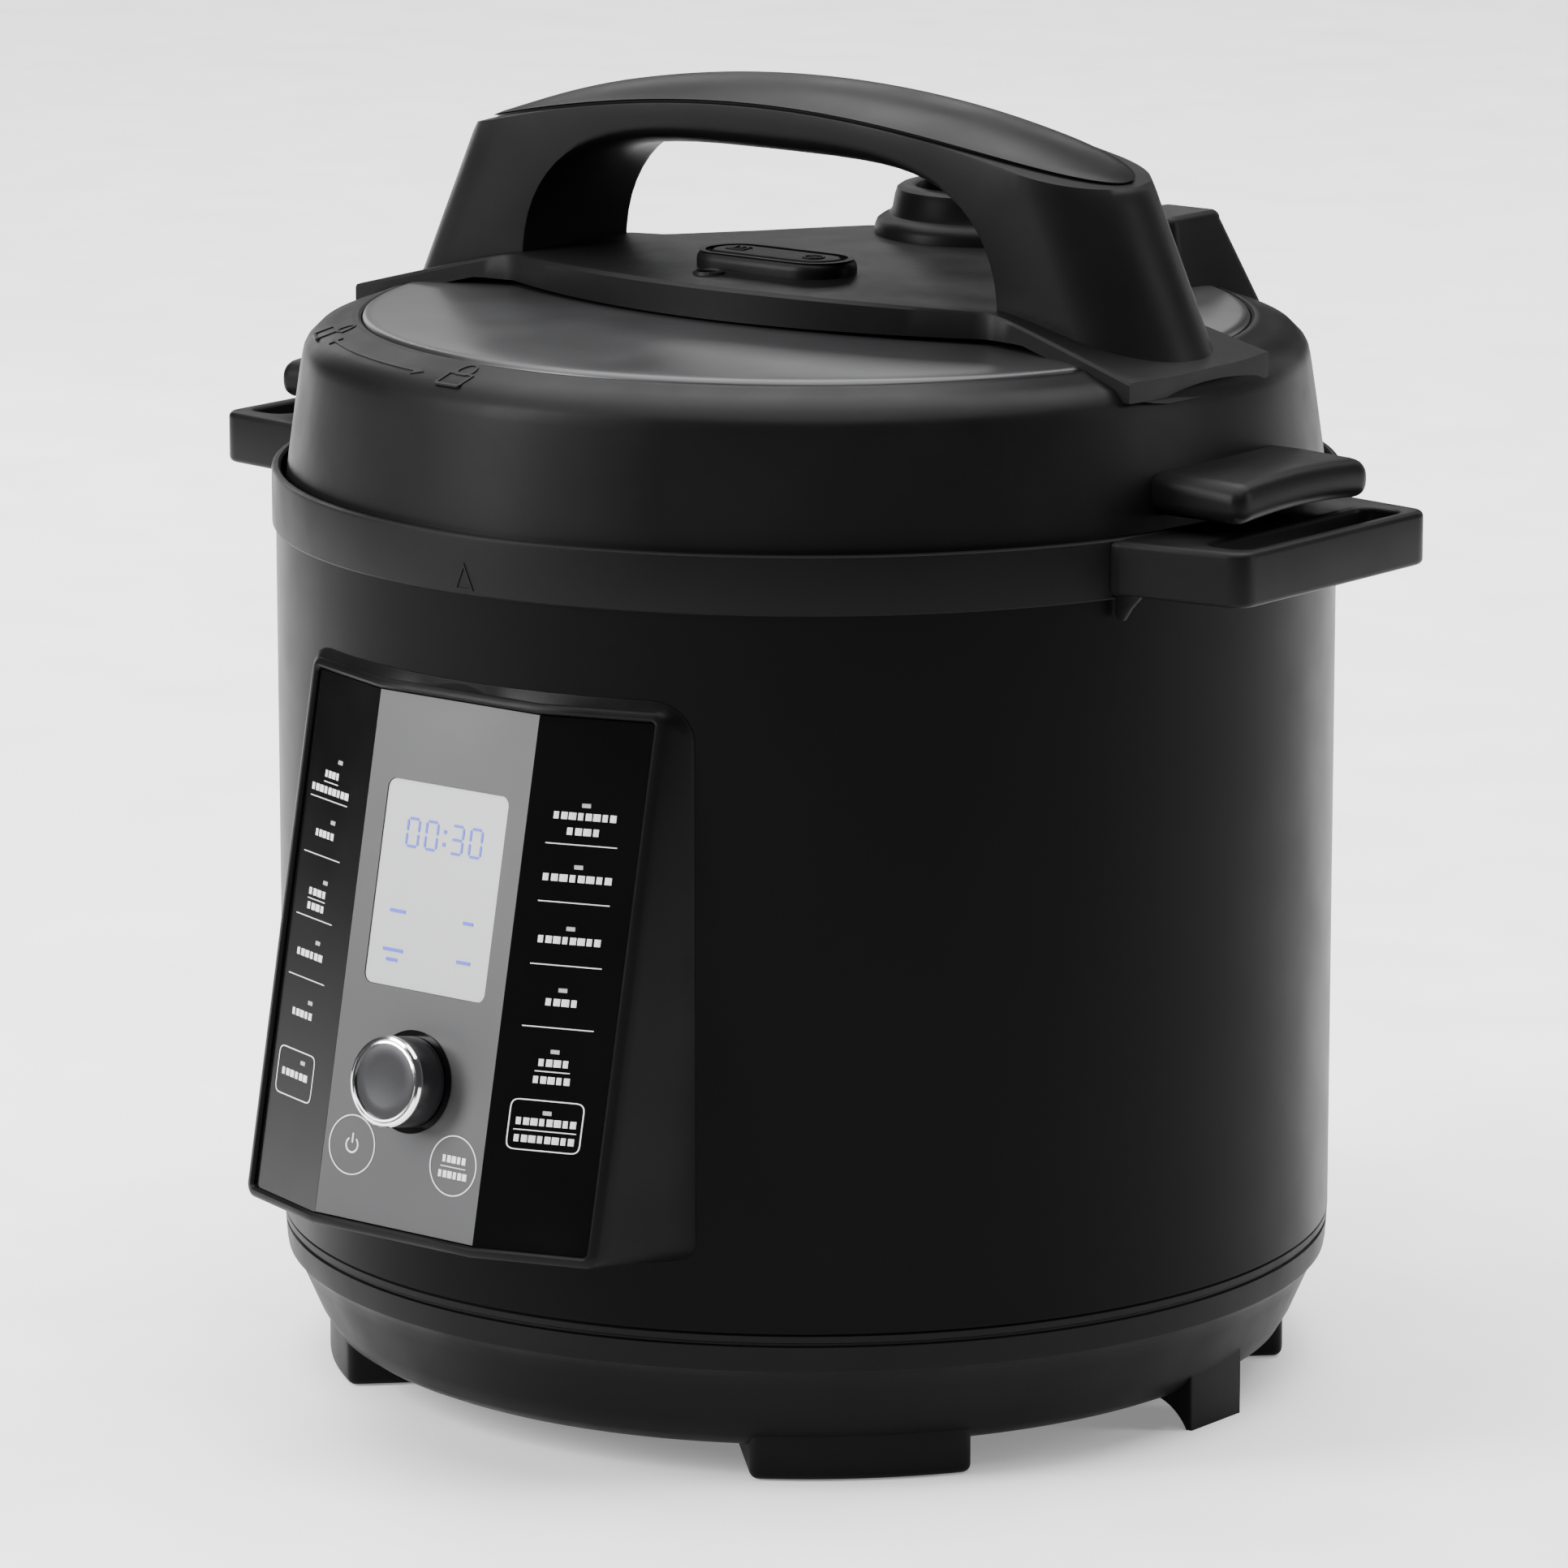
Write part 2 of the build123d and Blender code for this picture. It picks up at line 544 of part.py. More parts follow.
with BuildPart() as panel_sides:
    for side_facet in (left_facet, right_facet):
        leaning_prism(side_facet, PANEL_BOTTOM[1] - 1.8, PANEL_TOP[1])
    for plane in light_planes:
        with BuildSketch(plane.offset(-2)):
            Rectangle(LIGHT_W, LIGHT_H)
        extrude(amount=4, mode=Mode.SUBTRACT)
panel_sides.part.label = "panel_sides"
export_step(panel_sides.part, "parts/panel_sides.step")

with BuildPart() as indicator_lights:
    for plane in light_planes:
        with BuildSketch(plane.offset(-1.6)):
            Rectangle(LIGHT_W - 0.1, LIGHT_H - 0.1)
        extrude(amount=1.5)
indicator_lights.part.label = "indicator_lights"
export_step(indicator_lights.part, "parts/indicator_lights.step")

with BuildPart() as display_window:
    with BuildSketch(on_panel(DISPLAY_DOWN, -1.9)):
        RectangleRounded(DISPLAY_W, DISPLAY_H, 2.4)
    extrude(amount=1.6)
display_window.part.label = "display_window"
export_step(display_window.part, "parts/display_window.step")

with BuildPart() as display_module:
    with BuildSketch(on_panel(DISPLAY_DOWN, 0.2 - BOARD_DEPTH)):
        Rectangle(DISPLAY_W + 6, DISPLAY_H + 4)
    extrude(amount=5)
    with BuildSketch(on_panel(DISPLAY_DOWN, -6.2)):
        Rectangle(DISPLAY_W - 2.4, DISPLAY_H - 2.4)
    extrude(amount=4.2)
display_module.part.label = "display_module"
export_step(display_module.part, "parts/display_module.step")

with BuildPart() as control_board:
    with BuildSketch(on_panel(PANEL_SLOPE / 2, -BOARD_DEPTH - 1.6)):
        Rectangle(76, 106)
    extrude(amount=1.6)
control_board.part.label = "control_board"
export_step(control_board.part, "parts/control_board.step")

with BuildPart() as encoder:
    with BuildSketch(on_panel(KNOB_DOWN, -BOARD_DEPTH)):
        RectangleRounded(14, 14, 1)
    extrude(amount=6)
    with BuildSketch(on_panel(KNOB_DOWN, -5)):
        Circle(SHAFT_R)
    extrude(amount=12)
encoder.part.label = "encoder"
export_step(encoder.part, "parts/encoder.step")

with BuildPart() as knob_bezel:
    with BuildSketch(KNOB):
        Circle(KNOB_R + 1.4)
        Circle(KNOB_R - 1.2, mode=Mode.SUBTRACT)
    extrude(amount=0.5)
knob_bezel.part.label = "knob_bezel"
export_step(knob_bezel.part, "parts/knob_bezel.step")

with BuildPart() as knob:
    with BuildSketch(on_panel(KNOB_DOWN, 0.8)):
        Circle(KNOB_R - 0.25)
    extrude(amount=KNOB_H - 2.2)
    with BuildSketch(on_panel(KNOB_DOWN, KNOB_H - 2)):
        Circle(KNOB_R - 1.4)
    extrude(amount=1.6)
    with BuildSketch(on_panel(KNOB_DOWN, 0.8)):
        Circle(SHAFT_R + FIT)
    extrude(amount=6.6, mode=Mode.SUBTRACT)
knob.part.label = "knob"
export_step(knob.part, "parts/knob.step")

with BuildPart() as knob_ring:
    with BuildSketch(on_panel(KNOB_DOWN, KNOB_H - 1.4)):
        Circle(KNOB_R)
        Circle(KNOB_R - 1.4, mode=Mode.SUBTRACT)
    extrude(amount=1.4)
    rim = knob_ring.edges().sort_by(Axis(KNOB.origin, KNOB.z_dir))[-2:]
    fillet(rim.sort_by(SortBy.LENGTH)[-1], radius=0.6)
knob_ring.part.label = "knob_ring"
export_step(knob_ring.part, "parts/knob_ring.step")

# ---- Condensation cup on its rail at the back ---------------------------------------------
CUP_HALF_W = 25.0
CUP_Y = (137.0, 163.5)
CUP_Z = (142.0, 190.0)
LIP_Z = (188.4, 190.0)
RAIL_HALF_W = 30.0

with BuildPart() as collector_rail:
    block((-RAIL_HALF_W, RAIL_HALF_W), (120, 161), (194, 197))
    for side in (1, -1):
        block(sorted((side * 28, side * RAIL_HALF_W)), (120, 161), (185.4, 194))
        block(sorted((side * 25.6, side * RAIL_HALF_W)), (120, 161), (185.4, 188))
    block((-4, 4), (138, 158), (190, 198), mode=Mode.SUBTRACT)
    post(BODY_R, (150, 200), mode=Mode.SUBTRACT)
collector_rail.part.label = "collector_rail"
export_step(collector_rail.part, "parts/collector_rail.step")

with BuildPart() as collector_cup:
    with BuildSketch(Plane.XY.offset(CUP_Z[0])):
        with Locations((0, sum(CUP_Y) / 2)):
            RectangleRounded(2 * CUP_HALF_W, CUP_Y[1] - CUP_Y[0], 5)
    extrude(amount=CUP_Z[1] - CUP_Z[0])
    with BuildSketch(Plane.XY.offset(LIP_Z[0])):
        with Locations((0, sum(CUP_Y) / 2)):
            Rectangle(55, CUP_Y[1] - CUP_Y[0] - 10)
    extrude(amount=LIP_Z[1] - LIP_Z[0])
    with BuildSketch(Plane.XY.offset(CUP_Z[0] + 1.8)):
        with Locations((0, sum(CUP_Y) / 2)):
            RectangleRounded(2 * CUP_HALF_W - 3.6, CUP_Y[1] - CUP_Y[0] - 3.6, 3.4)
    extrude(amount=60, mode=Mode.SUBTRACT)
collector_cup.part.label = "collector_cup"
export_step(collector_cup.part, "parts/collector_cup.step")

# ---- Removable pot ------------------------------------------------------------------------
with BuildPart() as inner_pot:
    spin([
        (0, POT_FLOOR_Z), (POT_R - 8, POT_FLOOR_Z), (POT_R - 2.4, POT_FLOOR_Z + 2.4),
        (POT_R, POT_FLOOR_Z + 8), (POT_R, POT_RIM_Z - SHEET), (118, POT_RIM_Z - SHEET),
        (118, POT_RIM_Z), (POT_R - SHEET, POT_RIM_Z), (POT_R - SHEET, POT_FLOOR_Z + 8.4),
        (POT_R - 3.4, POT_FLOOR_Z + 3.4), (POT_R - 8.4, POT_FLOOR_Z + SHEET),
        (0, POT_FLOOR_Z + SHEET),
    ])
inner_pot.part.label = "inner_pot"
export_step(inner_pot.part, "parts/inner_pot.step")

# ---- Lid: pressure shell ------------------------------------------------------------------
FLANGE_Z = (226.5, 238.0)
FLANGE_R = (126.3, 127.8)
LID_LUG_R = LUG_R + 0.4
SEAL_Z = (POT_RIM_Z + 0.4, 236.3)
RACK_R = 105.0
PIPE_R = 4.0
FLOAT_R = 2.4
CROWN_FLOOR_Z = 262.0
ROLL = (1.2, 1.1)  # middle of the rolled edge, in from the rim and down from the crown
DOME_GAP = 0.1  # between the dome and the moulding above it


def dome_z(r, below=0.0):
    """Height of the outside of the lid's metal dome at radius r."""
    return DOME_TOP_Z - below - DOME_SPHERE_R + (DOME_SPHERE_R ** 2 - r ** 2) ** 0.5


def dome_slab(mode, low, high, r=122.0):
    """A disc bounded by two copies of the dome's curve, `low` and `high` below its surface."""
    with BuildSketch(Plane.XZ) as outline:
        with BuildLine():
            ThreePointArc((0, dome_z(0, high)), (r / 2, dome_z(r / 2, high)), (r, dome_z(r, high)))
            Line((r, dome_z(r, high)), (r, dome_z(r, low)))
            ThreePointArc((r, dome_z(r, low)), (r / 2, dome_z(r / 2, low)), (0, dome_z(0, low)))
            Line((0, dome_z(0, low)), (0, dome_z(0, high)))
        make_face()
    revolve(outline.sketch, axis=Axis.Z, mode=mode)


def dome_crown(mode, gap=0.0):
    """The crown of the dome down to a level inside the lid, grown by a gap."""
    top, edge, rim = CROWN_TOP_Z + gap, CROWN_EDGE_Z + gap, CROWN_RIM_R + gap
    half_way = top - (top - edge) / 4
    with BuildSketch(Plane.XZ) as outline:
        with BuildLine():
            Line((0, CROWN_FLOOR_Z), (0, top))
            ThreePointArc((0, top), (CROWN_R / 2, half_way), (CROWN_R, edge))
            ThreePointArc((CROWN_R, edge), (rim - ROLL[0], edge - ROLL[1]), (rim, CROWN_RIM_Z))
            Line((rim, CROWN_RIM_Z), (rim, CROWN_FLOOR_Z))
            Line((rim, CROWN_FLOOR_Z), (0, CROWN_FLOOR_Z))
        make_face()
    revolve(outline.sketch, axis=Axis.Z, mode=mode)


BOLT_X = 98.0
BOLT_HEAD_Z = dome_z(BOLT_X + 5, SHEET)
through_places = [((0, VALVE_Y), PIPE_R), ((FLOAT_X, FLOAT_Y), FLOAT_R + GAP)]
lid_bolts = [(-BOLT_X, 0), (BOLT_X, 0)]

with BuildPart() as lid_dome:
    dome_crown(Mode.ADD)
    dome_slab(Mode.SUBTRACT, SHEET, 40, r=CROWN_RIM_R + 1)
    dome_slab(Mode.ADD, 0, SHEET)
    for place, radius in through_places:
        post(radius, (250, 290), [place], mode=Mode.SUBTRACT)
    post(2.5, (250, 290), lid_bolts, mode=Mode.SUBTRACT)
lid_dome.part.label = "lid_dome"
export_step(lid_dome.part, "parts/lid_dome.step")

with BuildPart() as locking_flange:
    spin([
        (FLANGE_R[0], FLANGE_Z[0]), (FLANGE_R[1], FLANGE_Z[0]), (FLANGE_R[1], FLANGE_Z[1]),
        (FLANGE_R[0], FLANGE_Z[1]),
    ])
    with BuildSketch(Plane.XY.offset(FLANGE_Z[0])):
        Circle(FLANGE_R[0] + 0.5)
        with BuildSketch(mode=Mode.INTERSECT):
            with PolarLocations(FLANGE_R[0] - 1, LUG_COUNT, start_angle=0):
                Rectangle(9, 40)
        Circle(LID_LUG_R, mode=Mode.SUBTRACT)
    extrude(amount=2)
locking_flange.part.label = "locking_flange"
export_step(locking_flange.part, "parts/locking_flange.step")

with BuildPart() as lid_plate:
    spin([(0, 236.8), (FLANGE_R[0], 236.8), (FLANGE_R[0], 238), (0, 238)])
    for place, radius in through_places:
        post(radius, (230, 240), [place], mode=Mode.SUBTRACT)
lid_plate.part.label = "lid_plate"
export_step(lid_plate.part, "parts/lid_plate.step")

with BuildPart() as sealing_ring:
    spin([
        (106.5, SEAL_Z[0] + 1), (108, SEAL_Z[0]), (116, SEAL_Z[0]), (117, SEAL_Z[0] + 1),
        (117, SEAL_Z[1]), (113, SEAL_Z[1]), (113, SEAL_Z[1] - 1.2), (110.5, SEAL_Z[1] - 1.2),
        (110.5, SEAL_Z[1]), (106.5, SEAL_Z[1]),
    ])
sealing_ring.part.label = "sealing_ring"
export_step(sealing_ring.part, "parts/sealing_ring.step")

with BuildPart() as ring_rack:
    with BuildSketch(Plane.XZ):
        with Locations((RACK_R, 235)):
            Circle(1.1)
    revolve(axis=Axis.Z)
    with BuildSketch(Plane.XY.offset(234.2)):
        with PolarLocations(RACK_R, 6):
            Rectangle(2.4, 3)
    extrude(amount=1.6)
ring_rack.part.label = "ring_rack"
export_step(ring_rack.part, "parts/ring_rack.step")

# ---- Lid: moulded cover -------------------------------------------------------------------
BRIDGE_EDGE_Z = 281.0
BRIDGE_LOW_Z = 275.0
CORNER_X, CORNER_Y = 76.4, 25.0
BULGE_Y = 43.0
RAMP_END_X = 125.0
EAR_X = 155.0
EAR_Z = (236.8, 246.6)
EAR_ROOT_Z = 250.4
EAR_HALF_W = 26.0
EAR_ROUND = 4.0
LOBE_R = 34.0
BEZEL_L, BEZEL_W = 46.0, 21.0
WELL_L, WELL_W = 40.6, 14.6


def is_ear_tip(corner):
    """Tell the outer corners of an ear's section from those at the lid."""
    return abs(corner.X) > EAR_X - 1


with BuildPart() as lid_cover:
    # bridge between the handle posts, crowned from front to back
    with BuildSketch(Plane.YZ):
        with BuildLine():
            Line((-60, BRIDGE_LOW_Z - 10), (110, BRIDGE_LOW_Z - 10))
            Line((110, BRIDGE_LOW_Z - 10), (110, 283))
            Line((110, 283), (45, 283.4))
            ThreePointArc((45, 283.4), (0, BRIDGE_Z), (-60, 277.5))
            Line((-60, 277.5), (-60, BRIDGE_LOW_Z - 10))
        make_face()
    extrude(amount=CORNER_X - 1.5, both=True)
    with BuildSketch(Plane.XY.offset(BRIDGE_LOW_Z - 12)):
        with BuildLine():
            ThreePointArc((-CORNER_X, -CORNER_Y), (0, -BULGE_Y), (CORNER_X, -CORNER_Y))
            Line((CORNER_X, -CORNER_Y), (CORNER_X, CORNER_Y))
            Line((CORNER_X, CORNER_Y), (40, 42))
            Line((40, 42), (-40, 42))
            Line((-40, 42), (-CORNER_X, CORNER_Y))
            Line((-CORNER_X, CORNER_Y), (-CORNER_X, -CORNER_Y))
        make_face()
        with Locations((0, VALVE_Y - 2)):
            Circle(LOBE_R)
        with Locations((0, 90)):
            Rectangle(48, 46)
    extrude(amount=40, mode=Mode.INTERSECT)
    # ramps from the bridge down to the ring
    for side in (1, -1):
        with BuildSketch(Plane.XZ):
            with BuildLine():
                Polyline((side * 55, 270), (side * 55, BRIDGE_EDGE_Z), (side * CORNER_X, BRIDGE_EDGE_Z),
                         (side * RAMP_END_X, 269.9), (side * 126, 264), (side * 110, 262), close=True)
            make_face()
        extrude(amount=29, both=True)
    dome_slab(Mode.SUBTRACT, -DOME_GAP, 40, r=122.2)
    dome_crown(Mode.SUBTRACT, DOME_GAP)
    # ring and skirt
    spin([
        (SKIRT_R, SKIRT_Z), (SHOULDER_R, SHOULDER_Z - 1.5), (SHOULDER_R - 1, SHOULDER_Z + 0.4),
        (SHOULDER_R - 3, SHOULDER_Z + 1.6), (RING_IN_R + 1, RING_IN_Z), (RING_IN_R, RING_IN_Z - 0.6),
        (RING_IN_R, dome_z(RING_IN_R, -DOME_GAP)), (122.2, dome_z(122, -DOME_GAP)), (122.2, dome_z(122, 3)),
        (125.2, 262.5), (SKIRT_R - MOULDING, SKIRT_Z),
    ])
    # ears over the carrying handles, thicker towards the skirt
    for side in (1, -1):
        with BuildSketch(Plane.XZ) as ear_section:
            with BuildLine():
                Polyline((side * 120, EAR_Z[0]), (side * EAR_X, EAR_Z[0]), (side * EAR_X, EAR_Z[1]),
                         (side * 131, EAR_ROOT_Z), (side * 120, EAR_ROOT_Z), close=True)
            make_face()
            fillet(ear_section.vertices().filter_by(is_ear_tip), radius=EAR_ROUND)
        extrude(ear_section.sketch, amount=EAR_HALF_W, both=True)
    spin([(0, SKIRT_Z), (SKIRT_R - MOULDING, SKIRT_Z), (125.2, 262.5), (122.2, dome_z(122, 3)),
          (0, dome_z(122, 3))], mode=Mode.SUBTRACT)
    with BuildSketch(Plane.XY.offset(265)):
        with Locations((0, ROCKER_Y)):
            SlotOverall(WELL_L, WELL_W)
    extrude(amount=30, mode=Mode.SUBTRACT)
    with BuildSketch(Plane.XY.offset(BRIDGE_EDGE_Z)):
        with Locations((0, ROCKER_Y)):
            SlotOverall(BEZEL_L, BEZEL_W)
    extrude(amount=30, mode=Mode.SUBTRACT)
    with BuildSketch(Plane.XY.offset(265)):
        with Locations((FLOAT_X, FLOAT_Y)):
            SlotOverall(11, 6)
    extrude(amount=30, mode=Mode.SUBTRACT)
    post(12, (265, 300), [(0, VALVE_Y)], mode=Mode.SUBTRACT)
    post(2.5, (255, 290), lid_bolts, mode=Mode.SUBTRACT)
lid_cover.part.label = "lid_cover"
export_step(lid_cover.part, "parts/lid_cover.step")

# ---- Lid handle ---------------------------------------------------------------------------
def handle_end(z):
    """X of the handle's rounded end at height z."""
    return GRIP_END_X + (GRIP_SEAM_END_Z - z) * POST_LEAN


def rounded_ends(low, high):
    """Trim the handle to leaning posts with round ends."""
    plans = []
    for z in (low, high):
        with BuildSketch(Plane.XY.offset(z)) as plan:
            SlotOverall(2 * handle_end(z), 2 * GRIP_HALF_W)
        plans.append(plan.sketch)
    loft(plans, ruled=True, mode=Mode.INTERSECT)


with BuildPart() as handle_body:
    with BuildSketch(Plane.XZ):
        with BuildLine():
            ThreePointArc((-GRIP_END_X, GRIP_SEAM_END_Z), (0, GRIP_SEAM_MID_Z),
                          (GRIP_END_X, GRIP_SEAM_END_Z))
            Line((GRIP_END_X, GRIP_SEAM_END_Z), (handle_end(265), 265))
            Line((handle_end(265), 265), (77, 265))
            Line((77, 265), (76.5, 281))
            Spline((76.5, 281), (61, 306), (34, 317.3), tangents=[(-0.12, 1), (-1, 0.17)])
            ThreePointArc((34, 317.3), (0, 320.3), (-34, 317.3))
            Spline((-34, 317.3), (-61, 306), (-76.5, 281), tangents=[(-1, -0.17), (-0.12, -1)])
            Line((-76.5, 281), (-77, 265))
            Line((-77, 265), (-handle_end(265), 265))
            Line((-handle_end(265), 265), (-GRIP_END_X, GRIP_SEAM_END_Z))
        make_face()
    extrude(amount=GRIP_HALF_W, both=True)
    rounded_ends(260, 340)
    # follow the ramps and the ring's shoulder
    for side in (1, -1):
        with BuildSketch(Plane.XZ):
            with BuildLine():
                Polyline((side * 70, 240), (side * 70, BRIDGE_EDGE_Z), (side * CORNER_X, BRIDGE_EDGE_Z),
                         (side * RAMP_END_X, 269.9), (side * 130, 240), close=True)
            make_face()
        extrude(amount=40, both=True, mode=Mode.SUBTRACT)
    post(2.5, (255, 296), lid_bolts, mode=Mode.SUBTRACT)
handle_body.part.label = "handle_body"
export_step(handle_body.part, "parts/handle_body.step")

with BuildPart() as handle_grip:
    with BuildLine() as seam:
        ThreePointArc((-GRIP_END_X, 0, GRIP_SEAM_END_Z), (0, 0, GRIP_SEAM_MID_Z),
                      (GRIP_END_X, 0, GRIP_SEAM_END_Z))
    with BuildSketch(Plane(origin=seam.line @ 0, z_dir=seam.line % 0, x_dir=(0, 1, 0))):
        with BuildLine():
            Line((-GRIP_HALF_W, 0), (GRIP_HALF_W, 0))
            ThreePointArc((GRIP_HALF_W, 0), (0, GRIP_CROWN), (-GRIP_HALF_W, 0))
        make_face()
    sweep(path=seam.line)
    with BuildSketch(Plane.XZ):
        with BuildLine():
            ThreePointArc((-GRIP_END_X, GRIP_SEAM_END_Z + GRIP_TIP),
                          (0, GRIP_SEAM_MID_Z + GRIP_CROWN), (GRIP_END_X, GRIP_SEAM_END_Z + GRIP_TIP))
            Polyline((GRIP_END_X, GRIP_SEAM_END_Z + GRIP_TIP), (GRIP_END_X, 300), (-GRIP_END_X, 300),
                     (-GRIP_END_X, GRIP_SEAM_END_Z + GRIP_TIP))
        make_face()
    extrude(amount=2 * GRIP_HALF_W, both=True, mode=Mode.INTERSECT)
    rounded_ends(300, 340)
handle_grip.part.label = "handle_grip"
export_step(handle_grip.part, "parts/handle_grip.step")

with BuildPart() as handle_screws:
    post(2.5, (BOLT_HEAD_Z, 296), lid_bolts)
    post(5, (BOLT_HEAD_Z - 5, BOLT_HEAD_Z), lid_bolts)
handle_screws.part.label = "handle_screws"
export_step(handle_screws.part, "parts/handle_screws.step")

# ---- Pressure rocker, float pin and steam valve -------------------------------------------
with BuildPart() as rocker_bezel:
    with BuildSketch(Plane.XY.offset(BRIDGE_EDGE_Z)):
        with Locations((0, ROCKER_Y)):
            SlotOverall(BEZEL_L, BEZEL_W)
            SlotOverall(WELL_L, WELL_W, mode=Mode.SUBTRACT)
    extrude(amount=7)
    chamfer(rocker_bezel.edges().group_by(Axis.Z)[-1].sort_by(SortBy.LENGTH)[-2:], length=1.5)
    with BuildSketch(Plane.XZ.offset(-ROCKER_Y)):
        with Locations((0, ROCKER_AXIS_Z)):
            Circle(1.2)
    extrude(amount=9.2, both=True, mode=Mode.SUBTRACT)
rocker_bezel.part.label = "rocker_bezel"
export_step(rocker_bezel.part, "parts/rocker_bezel.step")

with BuildPart() as rocker_button:
    with BuildSketch(Plane.XY.offset(282.8)):
        with Locations((0, ROCKER_Y)):
            SlotOverall(WELL_L - 1.4, WELL_W - 1)
    extrude(amount=5.6)
    fillet(rocker_button.edges().group_by(Axis.Z)[-1], radius=0.8)
    with BuildSketch(Plane.XZ.offset(-ROCKER_Y)):
        with Locations((0, ROCKER_AXIS_Z)):
            Circle(1.2 + FIT)
    extrude(amount=12, both=True, mode=Mode.SUBTRACT)
rocker_button.part.label = "rocker_button"
export_step(rocker_button.part, "parts/rocker_button.step")

with BuildPart() as rocker_pin:
    with BuildSketch(Plane.XZ.offset(-ROCKER_Y)):
        with Locations((0, ROCKER_AXIS_Z)):
            Circle(1.2)
    extrude(amount=9.2, both=True)
rocker_pin.part.label = "rocker_pin"
export_step(rocker_pin.part, "parts/rocker_pin.step")

FLOAT_Z = (229.5, 283.4)
GASKET_Z = (230.2, 232.4)

with BuildPart() as float_pin:
    post(FLOAT_R, FLOAT_Z, [(FLOAT_X, FLOAT_Y)])
    chamfer(float_pin.edges().group_by(Axis.Z)[-1], length=0.5)
float_pin.part.label = "float_pin"
export_step(float_pin.part, "parts/float_pin.step")

with BuildPart() as float_gasket:
    post(5, GASKET_Z, [(FLOAT_X, FLOAT_Y)])
    post(FLOAT_R, GASKET_Z, [(FLOAT_X, FLOAT_Y)], mode=Mode.SUBTRACT)
float_gasket.part.label = "float_gasket"
export_step(float_gasket.part, "parts/float_gasket.step")

PIPE_Z = (232.5, 302.0)
NUT_Z = (233.2, 236.8)
WEIGHT_Z = (297.0, 313.0)
SHIELD_Z = (231.5, 236.8)
VALVE_STEP = [
    (9, 276.5), (12, 276.5), (12, 283.6), (29, 283.6), (29, 286.4), (27.8, 287.5), (26, 288),
    (24.6, 290), (23.4, 295), (22.2, 296), (17.5, 296), (16, 294.6), (14.5, 288), (9, 287),
]
WEIGHT_STEP = [
    (PIPE_R + FIT, WEIGHT_Z[0]), (7.5, WEIGHT_Z[0]), (7.5, WEIGHT_Z[0] + 4), (12, WEIGHT_Z[0] + 6),
    (12.5, WEIGHT_Z[1] - 2.6), (10.5, WEIGHT_Z[1]), (0, WEIGHT_Z[1]), (0, PIPE_Z[1] + 0.5),
    (PIPE_R + FIT, PIPE_Z[1] + 0.5),
]
VALVE_AXIS = Plane.XZ.offset(-VALVE_Y)


def spin_at_valve(points, mode=Mode.ADD):
    """Turn a closed outline about the steam valve's own upright axis."""
    with BuildSketch(VALVE_AXIS) as outline:
        with BuildLine():
            Polyline(*points, close=True)
        make_face()
    revolve(outline.sketch, axis=Axis((0, VALVE_Y, 0), (0, 0, 1)), mode=mode)


with BuildPart() as valve_collar:
    spin_at_valve(VALVE_STEP)
valve_collar.part.label = "valve_collar"
export_step(valve_collar.part, "parts/valve_collar.step")

with BuildPart() as steam_pipe:
    post(PIPE_R, PIPE_Z, [(0, VALVE_Y)])
    post(1.6, PIPE_Z, [(0, VALVE_Y)], mode=Mode.SUBTRACT)
steam_pipe.part.label = "steam_pipe"
export_step(steam_pipe.part, "parts/steam_pipe.step")

with BuildPart() as pipe_nut:
    with BuildSketch(Plane.XY.offset(NUT_Z[0])):
        with Locations((0, VALVE_Y)):
            RegularPolygon(7.5, 6)
            Circle(PIPE_R, mode=Mode.SUBTRACT)
    extrude(amount=NUT_Z[1] - NUT_Z[0])
pipe_nut.part.label = "pipe_nut"
export_step(pipe_nut.part, "parts/pipe_nut.step")

with BuildPart() as block_shield:
    post(13, SHIELD_Z, [(0, VALVE_Y)])
    post(12, (SHIELD_Z[0] + 0.8, SHIELD_Z[1]), [(0, VALVE_Y)], mode=Mode.SUBTRACT)
    post(1, SHIELD_Z, [(x, VALVE_Y + y) for x, y in around(8, 12)], mode=Mode.SUBTRACT)
block_shield.part.label = "block_shield"
export_step(block_shield.part, "parts/block_shield.step")

with BuildPart() as valve_weight:
    spin_at_valve(WEIGHT_STEP)
valve_weight.part.label = "valve_weight"
export_step(valve_weight.part, "parts/valve_weight.step")

# ---- Raised housing at the back of the lid ------------------------------------------------
REAR_X = 34.2
REAR_SECTIONS = [  # height, far X, and Y span of the housing's plan
    (262.0, 59.2, (78.0, 114.4)),
    (290.0, 50.5, (84.0, 104.0)),
]
with BuildPart() as rear_housing:
    plans = []
    for z, x_high, (y_low, y_high) in REAR_SECTIONS:
        with BuildSketch(Plane.XY.offset(z)) as plan:
            with Locations(((REAR_X + x_high) / 2, (y_low + y_high) / 2)):
                RectangleRounded(x_high - REAR_X, y_high - y_low, 3)
        plans.append(plan.sketch)
    loft(plans, ruled=True)
    spin([(0, 240), (140, 240), (140, SHOULDER_Z), (SHOULDER_R - 1, SHOULDER_Z + 0.4),
          (SHOULDER_R - 3, SHOULDER_Z + 1.6), (RING_IN_R + 1, RING_IN_Z), (0, RING_IN_Z)],
         mode=Mode.SUBTRACT)
    dome_crown(Mode.SUBTRACT)
rear_housing.part.label = "rear_housing"
export_step(rear_housing.part, "parts/rear_housing.step")
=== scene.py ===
"""Looks of the electric pressure cooker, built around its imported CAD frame.

Lengths in the shape code are millimetres in the frame's own axes; points are scaled by MM when
they become vertices. The panel faces -Y, the handles lie along X and the feet stand on Z = 0.
"""

from functools import partial
from math import atan2, copysign, cos, degrees, hypot, pi, radians, sin, sqrt, tan

